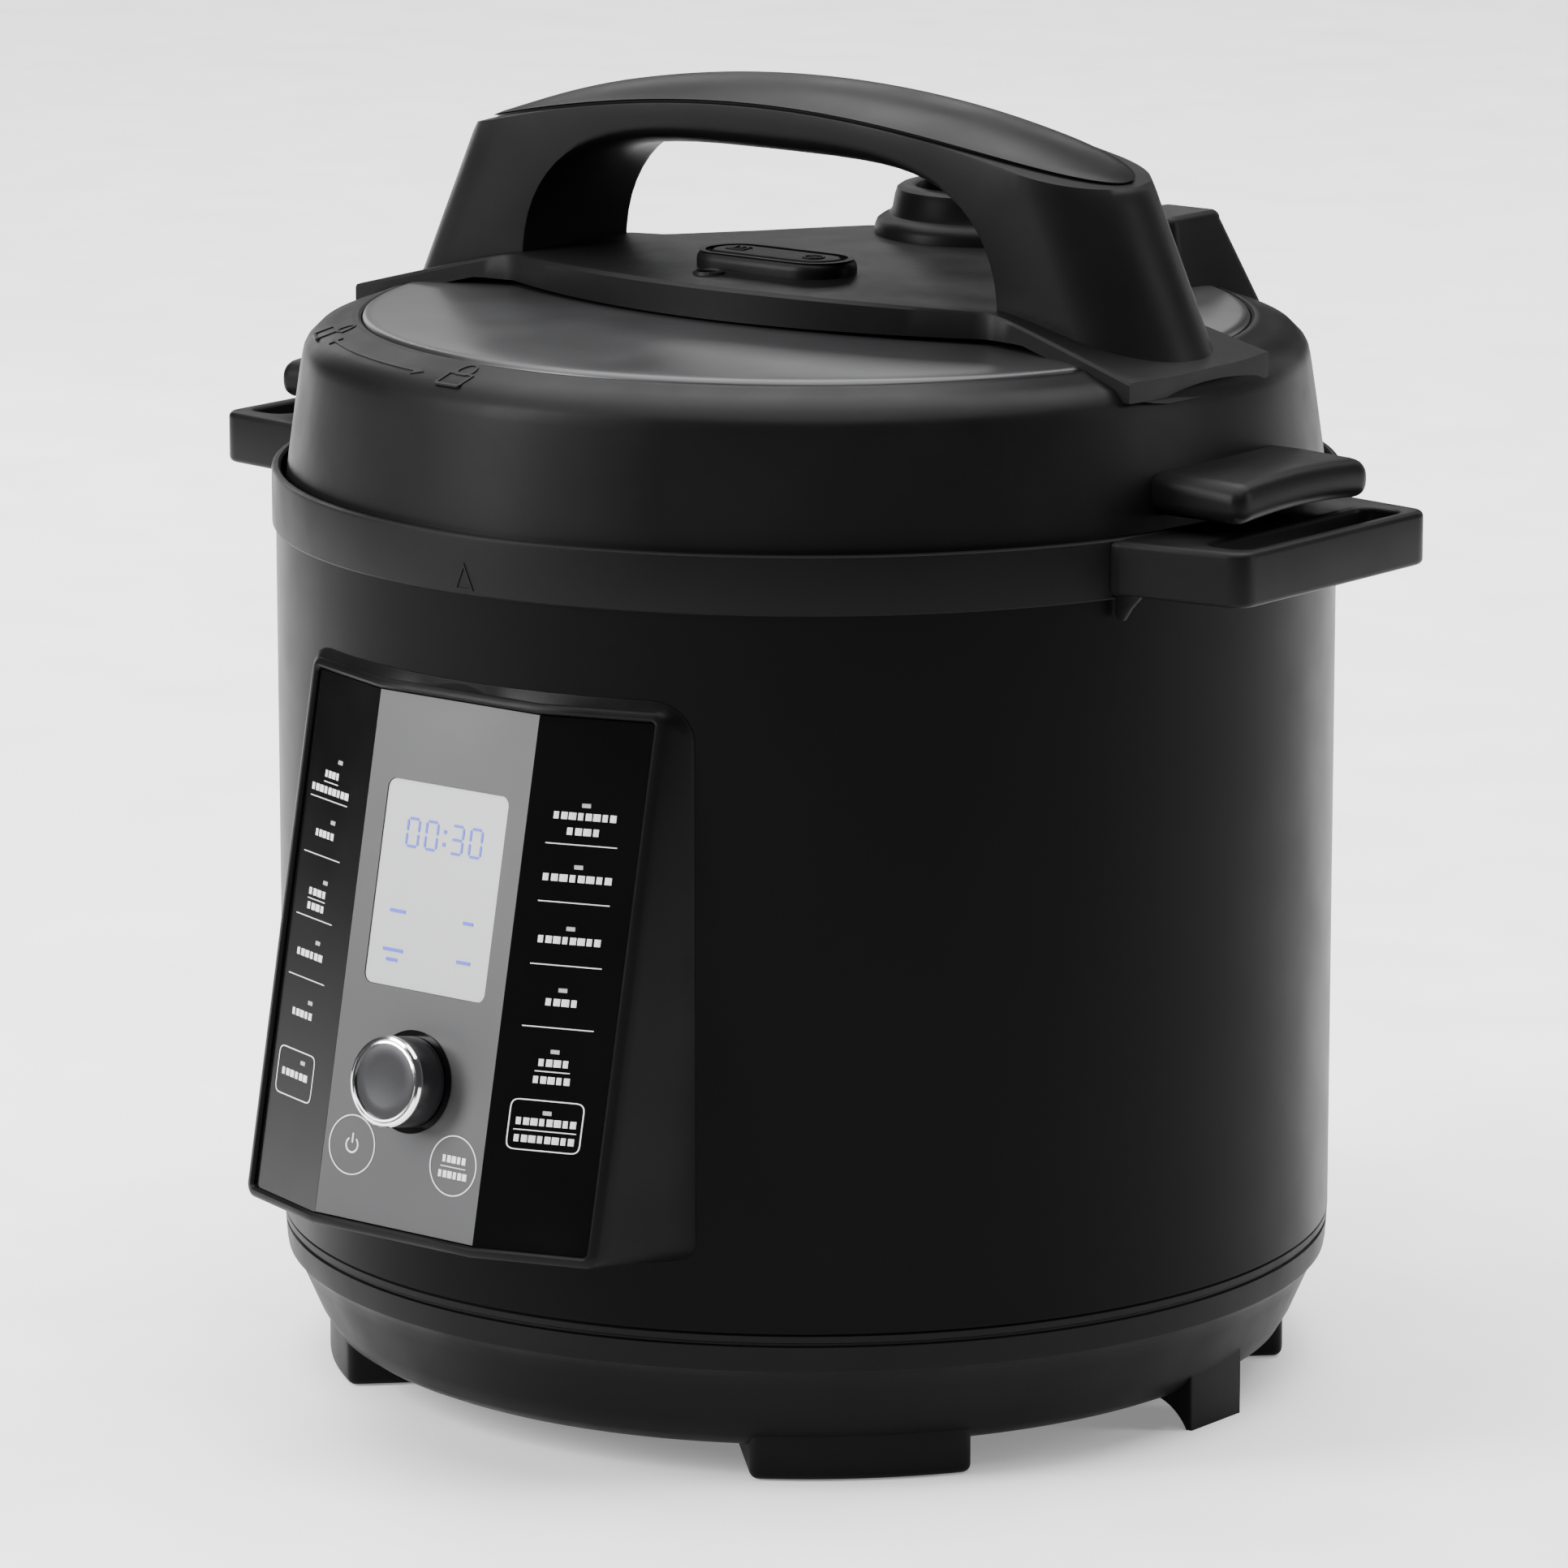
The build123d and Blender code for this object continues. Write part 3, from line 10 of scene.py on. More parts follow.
import bmesh
import bpy
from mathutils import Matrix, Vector


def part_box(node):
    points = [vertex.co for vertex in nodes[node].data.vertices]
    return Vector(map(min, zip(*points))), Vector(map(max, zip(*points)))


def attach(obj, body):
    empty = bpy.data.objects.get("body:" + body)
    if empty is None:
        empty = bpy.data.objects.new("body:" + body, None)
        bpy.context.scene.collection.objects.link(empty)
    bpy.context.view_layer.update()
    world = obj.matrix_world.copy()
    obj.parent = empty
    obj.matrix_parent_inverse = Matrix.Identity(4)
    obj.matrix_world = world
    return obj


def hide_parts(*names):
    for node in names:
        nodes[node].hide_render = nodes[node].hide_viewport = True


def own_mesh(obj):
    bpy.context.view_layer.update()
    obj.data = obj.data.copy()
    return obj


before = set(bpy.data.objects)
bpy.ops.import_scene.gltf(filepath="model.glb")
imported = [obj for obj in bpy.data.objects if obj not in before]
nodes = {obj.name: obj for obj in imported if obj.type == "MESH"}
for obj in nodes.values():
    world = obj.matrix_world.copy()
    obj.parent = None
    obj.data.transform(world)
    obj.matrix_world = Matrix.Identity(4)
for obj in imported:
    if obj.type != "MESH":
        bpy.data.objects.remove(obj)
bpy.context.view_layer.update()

MM = 0.001


def span(node):
    """Lowest and highest corner of a CAD node, in millimetres."""
    low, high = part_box(node)
    return low / MM, high / MM


# ---- Sizes taken from the frame -----------------------------------------------------------
shell_low, shell_high = span("body_shell")
collar_high = span("collar")[1]
dome_high = span("lid_dome")[1]
center_low, center_high = span("panel_center")
sides_high = span("panel_sides")[1]
body_high = span("handle_body")[1]
bezel_low, bezel_high = span("rocker_bezel")
rocker_high = span("rocker_button")[1]

BODY_R = shell_high.x
SEAM_Z = shell_low.z
COLLAR_Z = collar_high.z
COLLAR_R = collar_high.y
HANDLE_X = collar_high.x
RING_IN_R, RING_IN_Z = 112.8, 271.6  # inner edge of the lid ring, at the dome
DOME_TOP_Z = dome_high.z
VALVE_AT = (0, 75)
FLOAT_AT = (-9.0, -28.0)
ROCKER_Y = (bezel_low.y + bezel_high.y) / 2

FACET_T = 2.2
FOLD_X = 25.5  # where the middle facet meets a side facet
FACET_X = sides_high.x
FACET_BACK = 9.5  # how far the outer edge of a side facet lies behind the fold
PANEL_TOP_Y, PANEL_TOP_Z = center_high.y - FACET_T, center_high.z
PANEL_LEAN = (PANEL_TOP_Y - center_low.y) / (PANEL_TOP_Z - center_low.z)
PANEL_LEN = hypot(PANEL_TOP_Y - center_low.y, PANEL_TOP_Z - center_low.z)
LEAN_ANGLE = atan2(PANEL_LEAN, 1)
KNOB_DOWN = 93.5


# ---- Mesh building blocks -----------------------------------------------------------------
def rounded(points, radius, steps=5):
    """A closed outline with its corners curved. radius is one value or one per corner."""
    count = len(points)
    radii = [radius] * count if isinstance(radius, (int, float)) else radius
    out = []
    for i, corner_radius in enumerate(radii):
        here, before, after = (Vector(points[j % count]) for j in (i, i - 1, i + 1))
        to_before, to_after = before - here, after - here
        half = to_before.angle(to_after, pi) / 2
        if corner_radius <= 0 or half > radians(89):
            out.append(tuple(here))
            continue
        reach = min(corner_radius / max(1e-6, tan(half)),
                    0.48 * to_before.length, 0.48 * to_after.length)
        start, end = here + to_before.normalized() * reach, here + to_after.normalized() * reach
        for k in range(steps + 1):
            t = k / steps
            out.append(tuple(start * (1 - t) ** 2 + here * 2 * t * (1 - t) + end * t ** 2))
    return out


def rectangle(x0, y0, x1, y1):
    """Corners of a rectangle from its lowest to its highest corner, counter-clockwise."""
    return [(x0, y0), (x1, y0), (x1, y1), (x0, y1)]


def on_side(outline, side):
    """An outline of the right side, or its mirror image in X for the left side (-1)."""
    return outline if side > 0 else [(-x, v) for x, v in reversed(outline)]


def add_loops(bm, loops, wrap=False, cap_start=False, cap_end=False):
    """Skin a list of closed point loops that all have the same number of points."""
    rings = [[bm.verts.new(Vector(p) * MM) for p in loop] for loop in loops]
    size = len(rings[0])
    for low, high in list(zip(rings, rings[1:])) + ([(rings[-1], rings[0])] if wrap else []):
        for i in range(size):
            j = (i + 1) % size
            bm.faces.new((low[i], low[j], high[j], high[i]))
    if cap_start:
        bm.faces.new(list(reversed(rings[0])))
    if cap_end:
        bm.faces.new(rings[-1])
    return rings


def ring_edges(bm, ring):
    """Edges between the neighbouring vertices of a closed ring."""
    return [bm.edges.get(pair) for pair in zip(ring, ring[1:] + ring[:1])]


def skinned(loops, wrap=False, capped=False):
    """A bmesh over closed point loops: a tube (wrap) or a solid with flat ends (capped)."""
    bm = bmesh.new()
    add_loops(bm, loops, wrap, capped, capped)
    bmesh.ops.recalc_face_normals(bm, faces=bm.faces)
    return bm


def spun(outline, steps, place):
    """Turn a closed (radius, height) outline; place turns (x, y, height) into a point."""
    bm = bmesh.new()
    turns = [2 * pi * k / steps for k in range(steps)]
    loops = [[place(r * cos(a), r * sin(a), z) for r, z in outline] for a in turns]
    add_loops(bm, loops, wrap=True)
    bmesh.ops.remove_doubles(bm, verts=bm.verts, dist=1e-7)
    bmesh.ops.recalc_face_normals(bm, faces=bm.faces)
    return bm


def lathe(outline, steps=288, centre=(0, 0)):
    """Turn a closed (radius, height) outline about an upright axis."""
    return spun(outline, steps, lambda x, y, z: (centre[0] + x, centre[1] + y, z))


def piece(name, bm, material, body, stands_for=(), sharp=35):
    """Make an object from a bmesh, give it its finish and let it ride on a body."""
    mesh = bpy.data.meshes.new(name)
    bm.to_mesh(mesh)
    bm.free()
    mesh.materials.append(material)
    mesh.shade_smooth()
    mesh.set_sharp_from_angle(angle=radians(sharp))
    obj = bpy.data.objects.new(name, mesh)
    bpy.context.scene.collection.objects.link(obj)
    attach(obj, body)
    if stands_for:
        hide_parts(*stands_for)
    return obj


def merged(*parts):
    """Put several bmeshes into one."""
    whole = bmesh.new()
    for part in parts:
        mesh = bpy.data.meshes.new("part")
        part.to_mesh(mesh)
        part.free()
        whole.from_mesh(mesh)
        bpy.data.meshes.remove(mesh)
    return whole


def oval(half_x, half_y, count, centre=(0, 0), power=2.0):
    """Plan outline of an ellipse, or a slightly squarer shape with a higher power."""
    out = []
    for k in range(count):
        a = 2 * pi * k / count
        c, s = cos(a), sin(a)
        scale = (abs(c) ** power + abs(s) ** power) ** (-1 / power)
        out.append((centre[0] + half_x * c * scale, centre[1] + half_y * s * scale))
    return out


def rocker_slot(length, width):
    """Plan outline of a stadium along X, centred on the rocker."""
    reach, r = (length - width) / 2, width / 2
    turns = [pi * k / 20 for k in range(21)]
    right = [(reach + r * sin(a), ROCKER_Y - r * cos(a)) for a in turns]
    return right + [(-reach - r * sin(a), ROCKER_Y + r * cos(a)) for a in turns]


# ---- Materials ----------------------------------------------------------------------------
class Finish:
    """A principled material that is built up from procedural nodes."""

    def __init__(self, name, color, roughness, metallic=0.0, specular=0.5):
        self.mat = bpy.data.materials.new(name)
        self.mat.use_nodes = True
        self.tree = self.mat.node_tree
        self.shader = self.tree.nodes["Principled BSDF"]
        self.color = color
        self.shader.inputs["Base Color"].default_value = (*color, 1)
        self.shader.inputs["Roughness"].default_value = roughness
        self.shader.inputs["Metallic"].default_value = metallic
        self.shader.inputs["Specular IOR Level"].default_value = specular
        self.place = self.tree.nodes.new("ShaderNodeTexCoord").outputs["Object"]
        self.normal = None

    def node(self, kind, **inputs):
        made = self.tree.nodes.new(kind)
        for key, value in inputs.items():
            self.feed(made.inputs[key.replace("_", " ")], value)
        return made

    def feed(self, socket, value):
        if isinstance(value, bpy.types.NodeSocket):
            self.tree.links.new(value, socket)
        else:
            socket.default_value = value

    def stretched(self, scale):
        made = self.node("ShaderNodeMapping", Vector=self.place)
        made.inputs["Scale"].default_value = scale
        return made.outputs[0]

    def noise(self, size_mm, detail, roughness=0.5, place=None):
        made = self.node("ShaderNodeTexNoise", Vector=place or self.place,
                         Scale=1 / (size_mm * MM), Detail=detail, Roughness=roughness)
        return made.outputs[0]

    def cells(self, size_mm):
        made = self.node("ShaderNodeTexVoronoi", Vector=self.place, Scale=1 / (size_mm * MM))
        return made.outputs["Distance"]

    def mapped(self, value, low, high, start=0.3, end=0.7):
        made = self.node("ShaderNodeMapRange", Value=value, From_Min=start, From_Max=end,
                         To_Min=low, To_Max=high)
        return made.outputs[0]

    def shade(self, factor):
        return (*[c * factor for c in self.color], 1)

    def mix_into_color(self, amount, base, other):
        """Feed the base colour with a mix; base is a colour or a socket."""
        made = self.tree.nodes.new("ShaderNodeMix")
        made.data_type = "RGBA"
        self.feed(made.inputs[0], amount)
        self.feed(made.inputs[6], base)
        self.feed(made.inputs[7], other)
        self.feed(self.shader.inputs["Base Color"], made.outputs[2])
        return made.outputs[2]

    def vary_color(self, value, darker, lighter):
        """Mix between a darker and a lighter shade of the colour."""
        return self.mix_into_color(value, self.shade(darker), self.shade(lighter))

    def vary_roughness(self, value, low, high):
        self.feed(self.shader.inputs["Roughness"], self.mapped(value, low, high))

    def bump(self, height, depth_mm, strength=1.0):
        made = self.node("ShaderNodeBump", Height=height, Strength=strength,
                         Distance=depth_mm * MM)
        if self.normal:
            self.feed(made.inputs["Normal"], self.normal)
        self.normal = made.outputs[0]
        self.feed(self.shader.inputs["Normal"], self.normal)

    def painted_edge_highlight(self, base):
        """Painted highlight: make the colour a little lighter along convex edges, where the bevels
        catch the light.
        """
        lighter, even, reach = 2.2, 0.5, 0.06
        point = self.tree.nodes.new("ShaderNodeNewGeometry").outputs["Pointiness"]
        amount = self.mapped(point, 0, 0.55, start=even + reach * 0.35, end=even + reach)
        self.mix_into_color(amount, base, self.shade(lighter))


def moulded(name, color, roughness, grain_mm, grain_depth, specular=0.07):
    """Spark-eroded moulded plastic: fine pits, faint flow marks and a painted highlight that
    lightens convex edges.
    """
    f = Finish(name, color, roughness, specular=specular)
    # painted highlight: the colour is lightened along convex edges
    f.painted_edge_highlight(f.vary_color(f.noise(38, detail=3), 0.86, 1.16))
    f.vary_roughness(f.noise(21, detail=4), roughness - 0.05, roughness + 0.05)
    f.bump(f.noise(grain_mm, detail=3, roughness=0.65), grain_depth)
    f.bump(f.cells(grain_mm * 2.3), grain_depth * 0.5, strength=0.6)
    return f


def painted(name, color, roughness, peel_mm, peel_depth, metallic=0.0, specular=0.3):
    """Sprayed coating: orange peel, fine flake and broad gloss changes."""
    f = Finish(name, color, roughness, metallic=metallic, specular=specular)
    f.vary_color(f.noise(55, detail=2), 0.9, 1.12)
    f.vary_roughness(f.noise(30, detail=3), roughness - 0.035, roughness + 0.035)
    f.bump(f.noise(peel_mm, detail=2), peel_depth)
    f.bump(f.noise(peel_mm * 0.22, detail=1), peel_depth * 0.35, strength=0.7)
    return f


def brushed(name, color, roughness, stretch, line_mm=0.35):
    """Metal with fine lines; stretch is small along the direction of the lines."""
    f = Finish(name, color, roughness, metallic=1.0)
    lines = f.noise(line_mm, detail=3, place=f.stretched(stretch))
    f.vary_color(lines, 0.86, 1.1)
    f.vary_roughness(lines, roughness - 0.07, roughness + 0.09)
    f.bump(lines, 0.004)
    return f


lid_plastic = moulded("lid_plastic", (0.0036, 0.0036, 0.0038), 0.42, 0.45, 0.02)
collar_plastic = moulded("collar_plastic", (0.0030, 0.0030, 0.0032), 0.43, 0.40, 0.018)
base_plastic = moulded("base_plastic", (0.0030, 0.0030, 0.0032), 0.46, 0.42, 0.02)
housing_plastic = moulded("housing_plastic", (0.0022, 0.0022, 0.0024), 0.38, 0.45, 0.024)
grip_plastic = moulded("grip_plastic", (0.0026, 0.0026, 0.0028), 0.34, 0.30, 0.006)
shell_paint = painted("shell_paint", (0.0018, 0.0018, 0.0019), 0.36, 1.6, 0.006, specular=0.038)
dome_paint = painted("dome_paint", (0.04, 0.04, 0.042), 0.34, 1.4, 0.005, metallic=0.75)
gloss_black = painted("gloss_black", (0.002, 0.002, 0.0021), 0.14, 6.0, 0.002, specular=0.15)
panel_grey = painted("panel_grey", (0.045, 0.045, 0.0465), 0.42, 0.5, 0.003, metallic=0.35)
rubber = moulded("foot_rubber", (0.012, 0.012, 0.012), 0.75, 0.9, 0.03, specular=0.4)
silicone = moulded("silicone", (0.52, 0.52, 0.50), 0.5, 1.2, 0.01, specular=0.4)
inner_plastic = moulded("inner_plastic", (0.12, 0.12, 0.125), 0.5, 0.5, 0.015, specular=0.4)
steel = brushed("steel", (0.55, 0.55, 0.56), 0.32, (1, 1, 0.05))
pot_steel = brushed("pot_steel", (0.62, 0.62, 0.63), 0.26, (0.05, 0.05, 1))
liner_metal = brushed("liner_metal", (0.60, 0.60, 0.61), 0.36, (0.05, 0.05, 1), line_mm=0.6)
cast_plate = painted("cast_plate", (0.42, 0.42, 0.43), 0.45, 1.1, 0.03, metallic=0.9)
chrome = painted("chrome", (0.82, 0.82, 0.83), 0.07, 4.0, 0.0008, metallic=1.0)
knob_face = painted("knob_face", (0.030, 0.030, 0.0315), 0.28, 0.7, 0.002, metallic=0.85)
knob_side = painted("knob_side", (0.010, 0.010, 0.011), 0.22, 1.0, 0.002)
lens = painted("display_lens", (0.38, 0.384, 0.39), 0.30, 3.0, 0.001)
lamp = painted("lamp", (0.30, 0.30, 0.30), 0.35, 0.5, 0.003)
print_white = painted("print_white", (0.62, 0.62, 0.62), 0.5, 0.3, 0.002)
digit_blue = painted("digit_blue", (0.06, 0.09, 0.55), 0.35, 0.3, 0.001)
board_green = painted("board_green", (0.02, 0.10, 0.045), 0.4, 0.8, 0.02)
smoked = painted("smoked_cup", (0.016, 0.017, 0.018), 0.16, 2.5, 0.004)

CAD_FINISHES = {
    base_plastic: ("base_housing", "inlet_socket", "collector_rail"),
    rubber: ("foot_pads",),
    steel: ("base_screws", "liner_spacers", "inlet_pins", "sensor_spring", "encoder",
            "locking_flange", "ring_rack", "handle_screws", "rocker_pin", "float_pin",
            "steam_pipe", "pipe_nut", "block_shield", "heater_element"),
    shell_paint: ("body_shell",),
    liner_metal: ("outer_pot", "sensor_cap"),
    pot_steel: ("inner_pot", "lid_plate"),
    cast_plate: ("heating_plate",),
    silicone: ("sealing_ring", "float_gasket"),
    inner_plastic: ("sensor_holder", "thermal_fuse", "pressure_switch", "display_module"),
    board_green: ("power_board", "control_board"),
    gloss_black: ("panel_sides", "knob_bezel"),
    panel_grey: ("panel_center",),
    lens: ("display_window",),
    lamp: ("indicator_lights",),
    smoked: ("collector_cup",),
    lid_plastic: ("valve_collar", "valve_weight", "rear_housing", "rocker_bezel",
                  "rocker_button", "handle_body", "lid_cover"),
    grip_plastic: ("handle_grip",),
    collar_plastic: ("collar",),
    housing_plastic: ("panel_housing",),
    dome_paint: ("lid_dome",),
    chrome: ("knob_ring",),
    knob_side: ("knob",),
}
for finish, names in CAD_FINISHES.items():
    for name in names:
        mesh = nodes[name].data
        mesh.materials.clear()
        mesh.materials.append(finish.mat)


# ---- Further building blocks --------------------------------------------------------------
def inset(outline, amount):
    """Move a counter-clockwise outline inwards by an amount, or outwards by a negative one."""
    out = []
    count = len(outline)
    for i, here in enumerate(outline):
        ax, ay = here[0] - outline[i - 1][0], here[1] - outline[i - 1][1]
        bx, by = outline[(i + 1) % count][0] - here[0], outline[(i + 1) % count][1] - here[1]
        la, lb = hypot(ax, ay) or 1, hypot(bx, by) or 1
        nx, ny = -(ay / la + by / lb), ax / la + bx / lb
        length = hypot(nx, ny) or 1
        reach = amount / max(0.5, length / 2)
        out.append((here[0] + nx / length * reach, here[1] + ny / length * reach))
    return out


def flat(x, y, z):
    """Leave a plate as it lies."""
    return (x, y, z)


def upright(x, z, back):
    """Stand a plate on edge: its outline lies in X and Z, its thickness along -Y."""
    return (x, -back, z)


def slab(outline, low, high, round_top, round_low=None, hole=None, shape=flat):
    """A plate with rounded rims. shape turns an (x, y, z) of the flat plate into its place."""
    round_low = round_top if round_low is None else round_low
    turns = [pi / 8 * k for k in range(5)]
    levels = [(round_low * (1 - sin(t)), low + round_low * (1 - cos(t))) for t in turns]
    levels += [(round_top * (1 - cos(t)), high - round_top * (1 - sin(t))) for t in turns]
    bm = bmesh.new()
    skins = [add_loops(bm, [[shape(x, y, z) for x, y in inset(edge, sign * depth)]
                            for depth, z in levels])
             for edge, sign in ((outline, 1), (hole, -1)) if edge]
    for end in (0, -1):
        if hole:
            edges = [e for rings in skins for e in ring_edges(bm, rings[end])]
            bmesh.ops.triangle_fill(bm, edges=edges, use_beauty=True)
        else:
            bm.faces.new(skins[0][end])
    bmesh.ops.recalc_face_normals(bm, faces=bm.faces)
    return bm


def cut(bm, *cutters):
    """Cut closed bmeshes out of another one."""
    objects = []
    for part in (bm, *cutters):
        mesh = bpy.data.meshes.new("cut")
        part.to_mesh(mesh)
        part.free()
        objects.append(bpy.data.objects.new("cut", mesh))
        bpy.context.scene.collection.objects.link(objects[-1])
    for cutter in objects[1:]:
        step = objects[0].modifiers.new("cut", "BOOLEAN")
        step.object = cutter
        step.solver = "EXACT"
    graph = bpy.context.evaluated_depsgraph_get()
    result = bmesh.new()
    result.from_mesh(objects[0].evaluated_get(graph).to_mesh())
    for obj in objects:
        bpy.data.meshes.remove(obj.data)
    return result


# ---- Base ---------------------------------------------------------------------------------
def bowl():
    return lathe([(0, 7), (112, 7), (117, 7.6), (120.6, 9.2), (123.6, 11.3), (126.4, 16),
                  (130.6, 25.6), (132.0, 28.8), (133.2, 30.2), (134.2, 31.2), (134.5, 33),
                  (134.8, 37.4), (134.2, 37.8), (134.2, 38.3), (134.9, 38.7), (134.9, 40.2),
                  (134.4, 40.6), (132, 40.6), (131, 33), (128, 29.6), (121, 13.4), (116, 9.8),
                  (0, 9.8)])


def foot(angle):
    """One foot: a sector of the bowl's ring that reaches down to the floor pads."""
    outer, inner, half_w = 123.8, 86.0, 27.5
    reach = [half_w * (k / 6 - 1) for k in range(13)]
    points = [(sqrt(outer ** 2 - y ** 2), y) for y in reach]
    points += [(sqrt(inner ** 2 - y ** 2), y) for y in reversed(reach)]
    radii = [3.6] + [0] * 11 + [3.6, 3] + [0] * 11 + [3]
    c, s = cos(radians(angle)), sin(radians(angle))
    outline = [(x * c - y * s, x * s + y * c) for x, y in rounded(points, radii)]
    return slab(outline, 0.2, 13, round_top=0.5, round_low=2.0)


def side_leg(side):
    """A leg below the handle, with a quarter arch towards the middle."""
    inner_x, arch_z, arch_r = 111, -7, 14.6
    turns = [radians(90 - 61.3 * k / 14) for k in range(1, 15)]
    profile = [(inner_x, 26), (inner_x, 7.6)]
    profile += [(inner_x + arch_r * cos(a), arch_z + arch_r * sin(a)) for a in turns]
    profile += [(123.8, 0), (125.5, 0), (125.5, 26)]
    return slab(on_side(profile, side), -19, 2.4, round_top=0.5, shape=upright)


inlet_block = slab(rounded(rectangle(-19, 112, 19, 134.8), [0, 0, 3, 3]), 10, 36, round_top=1.5)
base = merged(bowl(), *[foot(a) for a in (45, 135, 225, 315)], side_leg(1), side_leg(-1),
              inlet_block)
piece("base_shell", base, base_plastic.mat, "cooker", ("base_housing",))


# ---- Painted shell ------------------------------------------------------------------------
def shell():
    """Painted wall 1 mm thick, with a window behind the panel."""
    window_x, window_z = 55.5, (75.0, 193.6)
    columns = 40  # across the window
    edge = degrees(atan2(window_x, sqrt(BODY_R ** 2 - window_x ** 2)))
    angles = [-edge + 2 * edge * k / columns for k in range(columns)]
    angles += [edge + (360 - 2 * edge) * k / 280 for k in range(280)]
    heights = [SEAM_Z - 0.1, 60, window_z[0], 110, 150, window_z[1], 206, 219.5]
    bm = bmesh.new()
    grids = []
    for radius in (BODY_R, BODY_R - 1):
        plan = [(radius * sin(radians(a)), -radius * cos(radians(a))) for a in angles]
        grids.append([[bm.verts.new(Vector((x, y, z)) * MM) for x, y in plan] for z in heights])
    count = len(angles)
    for row, height in enumerate(heights[:-1]):
        for k in range(count):
            if k < columns and window_z[0] <= height < window_z[1]:
                continue
            m = (k + 1) % count
            for grid in grids:
                bm.faces.new((grid[row][k], grid[row][m], grid[row + 1][m], grid[row + 1][k]))
    inner_of = {a: b for outer_row, inner_row in zip(*grids) for a, b in zip(outer_row, inner_row)}
    for a, b in [tuple(e.verts) for e in bm.edges if e.is_boundary]:
        if a in inner_of:
            bm.faces.new((a, b, inner_of[b], inner_of[a]))
    bmesh.ops.recalc_face_normals(bm, faces=bm.faces)
    bmesh.ops.delete(bm, geom=[v for v in bm.verts if not v.link_faces], context="VERTS")
    return bm


piece("shell", shell(), shell_paint.mat, "cooker", ("body_shell",))


# ---- Collar with its carrying handles -----------------------------------------------------
def collar_ring():
    return lathe([(COLLAR_R, 219.7), (COLLAR_R, 232.9), (135.8, 233.6), (135.2, COLLAR_Z),
                  (134.3, COLLAR_Z), (133.7, 233.4), (133.6, 223), (118, 223), (118, 219.8),
                  (131, 219.8), (131, 209), (133.4, 209), (133.6, 219.3), (135.6, 219.3)])


def carrying_handle(side):
    """Handle with its opening, and a corner that hangs below each end of its root."""
    plan = rounded([(129, -43.8), (131.5, -43.8), (HANDLE_X, -39.2), (HANDLE_X, 39.2),
                    (131.5, 43.8), (129, 43.8)], [0, 1, 6, 6, 1, 0], steps=8)
    hole = rounded(rectangle(149.4, -33.5, 161.2, 33.5), 4.5, steps=6)
    grip = slab(on_side(plan, side), 220.4, COLLAR_Z - 0.1, round_top=1.6, round_low=1.4,
                hole=on_side(hole, side))
    tip = on_side([(129.6, 221), (129.6, 216), (130.6, 214.4), (132.2, 214.4), (134.2, 217.4),
                   (137.5, 221)], side)
    return merged(grip, *[slab(tip, back, back + 1.6, round_top=0.4, shape=upright)
                          for back in (41.4, -43.0)])


def collar_mark():
    """Small raised triangle on the collar, pointing up at the lid."""
    angle, half_w, low, high = radians(1), 3.0, 220.4, 227.2

    def on_collar(u, z, lift):
        turn = angle + u / COLLAR_R
        return ((COLLAR_R + lift) * sin(turn), -(COLLAR_R + lift) * cos(turn), z)

    outer = [(-half_w, low), (half_w, low), (0, high)]
    inner = inset(outer, 0.55)
    return skinned([[on_collar(u, z, lift) for u, z in path]
                    for path, lift in ((outer, -0.1), (outer, 0.25), (inner, 0.25), (inner, -0.1))],
                   wrap=True)


piece("collar_moulding", merged(collar_ring(), carrying_handle(1), carrying_handle(-1),
                                collar_mark()),
      collar_plastic.mat, "cooker", ("collar",))

# ---- Lid: dome, ring and skirt ------------------------------------------------------------
dome_curve = [(r, DOME_TOP_Z - 1.0 - 2.2 * (r / 108) ** 2)
              for r in (0, 15, 30, 45, 60, 75, 90, 102)]
dome_curve += [(107, 272.85), (109.8, 272.6), (111.4, 272.3), (112.2, 271.8), (112.6, 270.9),
               (112.6, 267), (0, 267)]
piece("dome", lathe(dome_curve), dome_paint.mat, "lid", ("lid_dome",))


def ring_z(r):
    """Height of the lid ring's upper face."""
    return RING_IN_Z - (r - RING_IN_R - 1.2) * 0.36


def lid_ring():
    return lathe([(132.4, 226.0), (132.9, 226.6), (131.6, 236.4), (129.9, 248.4), (128.6, 257.2),
                  (127.9, 261.6), (127.4, 263.8), (126.6, 265.3), (125.3, 266.6),
                  (123.8, ring_z(123.8)), (119, ring_z(119)), (115.4, ring_z(115.4)),
                  (114.6, 271.5), (113.6, 271.55), (112.9, 271.1), (112.7, 269.6), (112.7, 267.0),
                  (122, 264.5), (125.2, 258), (130.2, 226.0)])


def on_ring(angle, u, v, lift):
    """A point on the ring: angle from the front, u sideways, v outwards from its middle."""
    r = 119.6 + v
    turn = radians(angle) + u / r
    return (r * sin(turn), -r * cos(turn), ring_z(r) + lift)


SUNK = 0.15  # how far a raised mark reaches below its surface


def raised_outline(path, width, place, height=0.3):
    """Raised closed line along a path; place turns (u, v, lift) into a point."""
    outer, inner = inset(path, -width / 2), inset(path, width / 2)
    section = ((outer, -SUNK), (outer, height), (inner, height), (inner, -SUNK))
    return skinned([[place(u, v, lift) for u, v in edge] for edge, lift in section], wrap=True)


def raised_patch(path, place, height=0.3):
    """Raised flat patch with the given outline and a small chamfer."""
    chamfer = 0.08
    return skinned([[place(u, v, lift) for u, v in edge]
                    for edge, lift in ((path, -SUNK), (path, height - chamfer),
                                       (inset(path, chamfer), height))], capped=True)


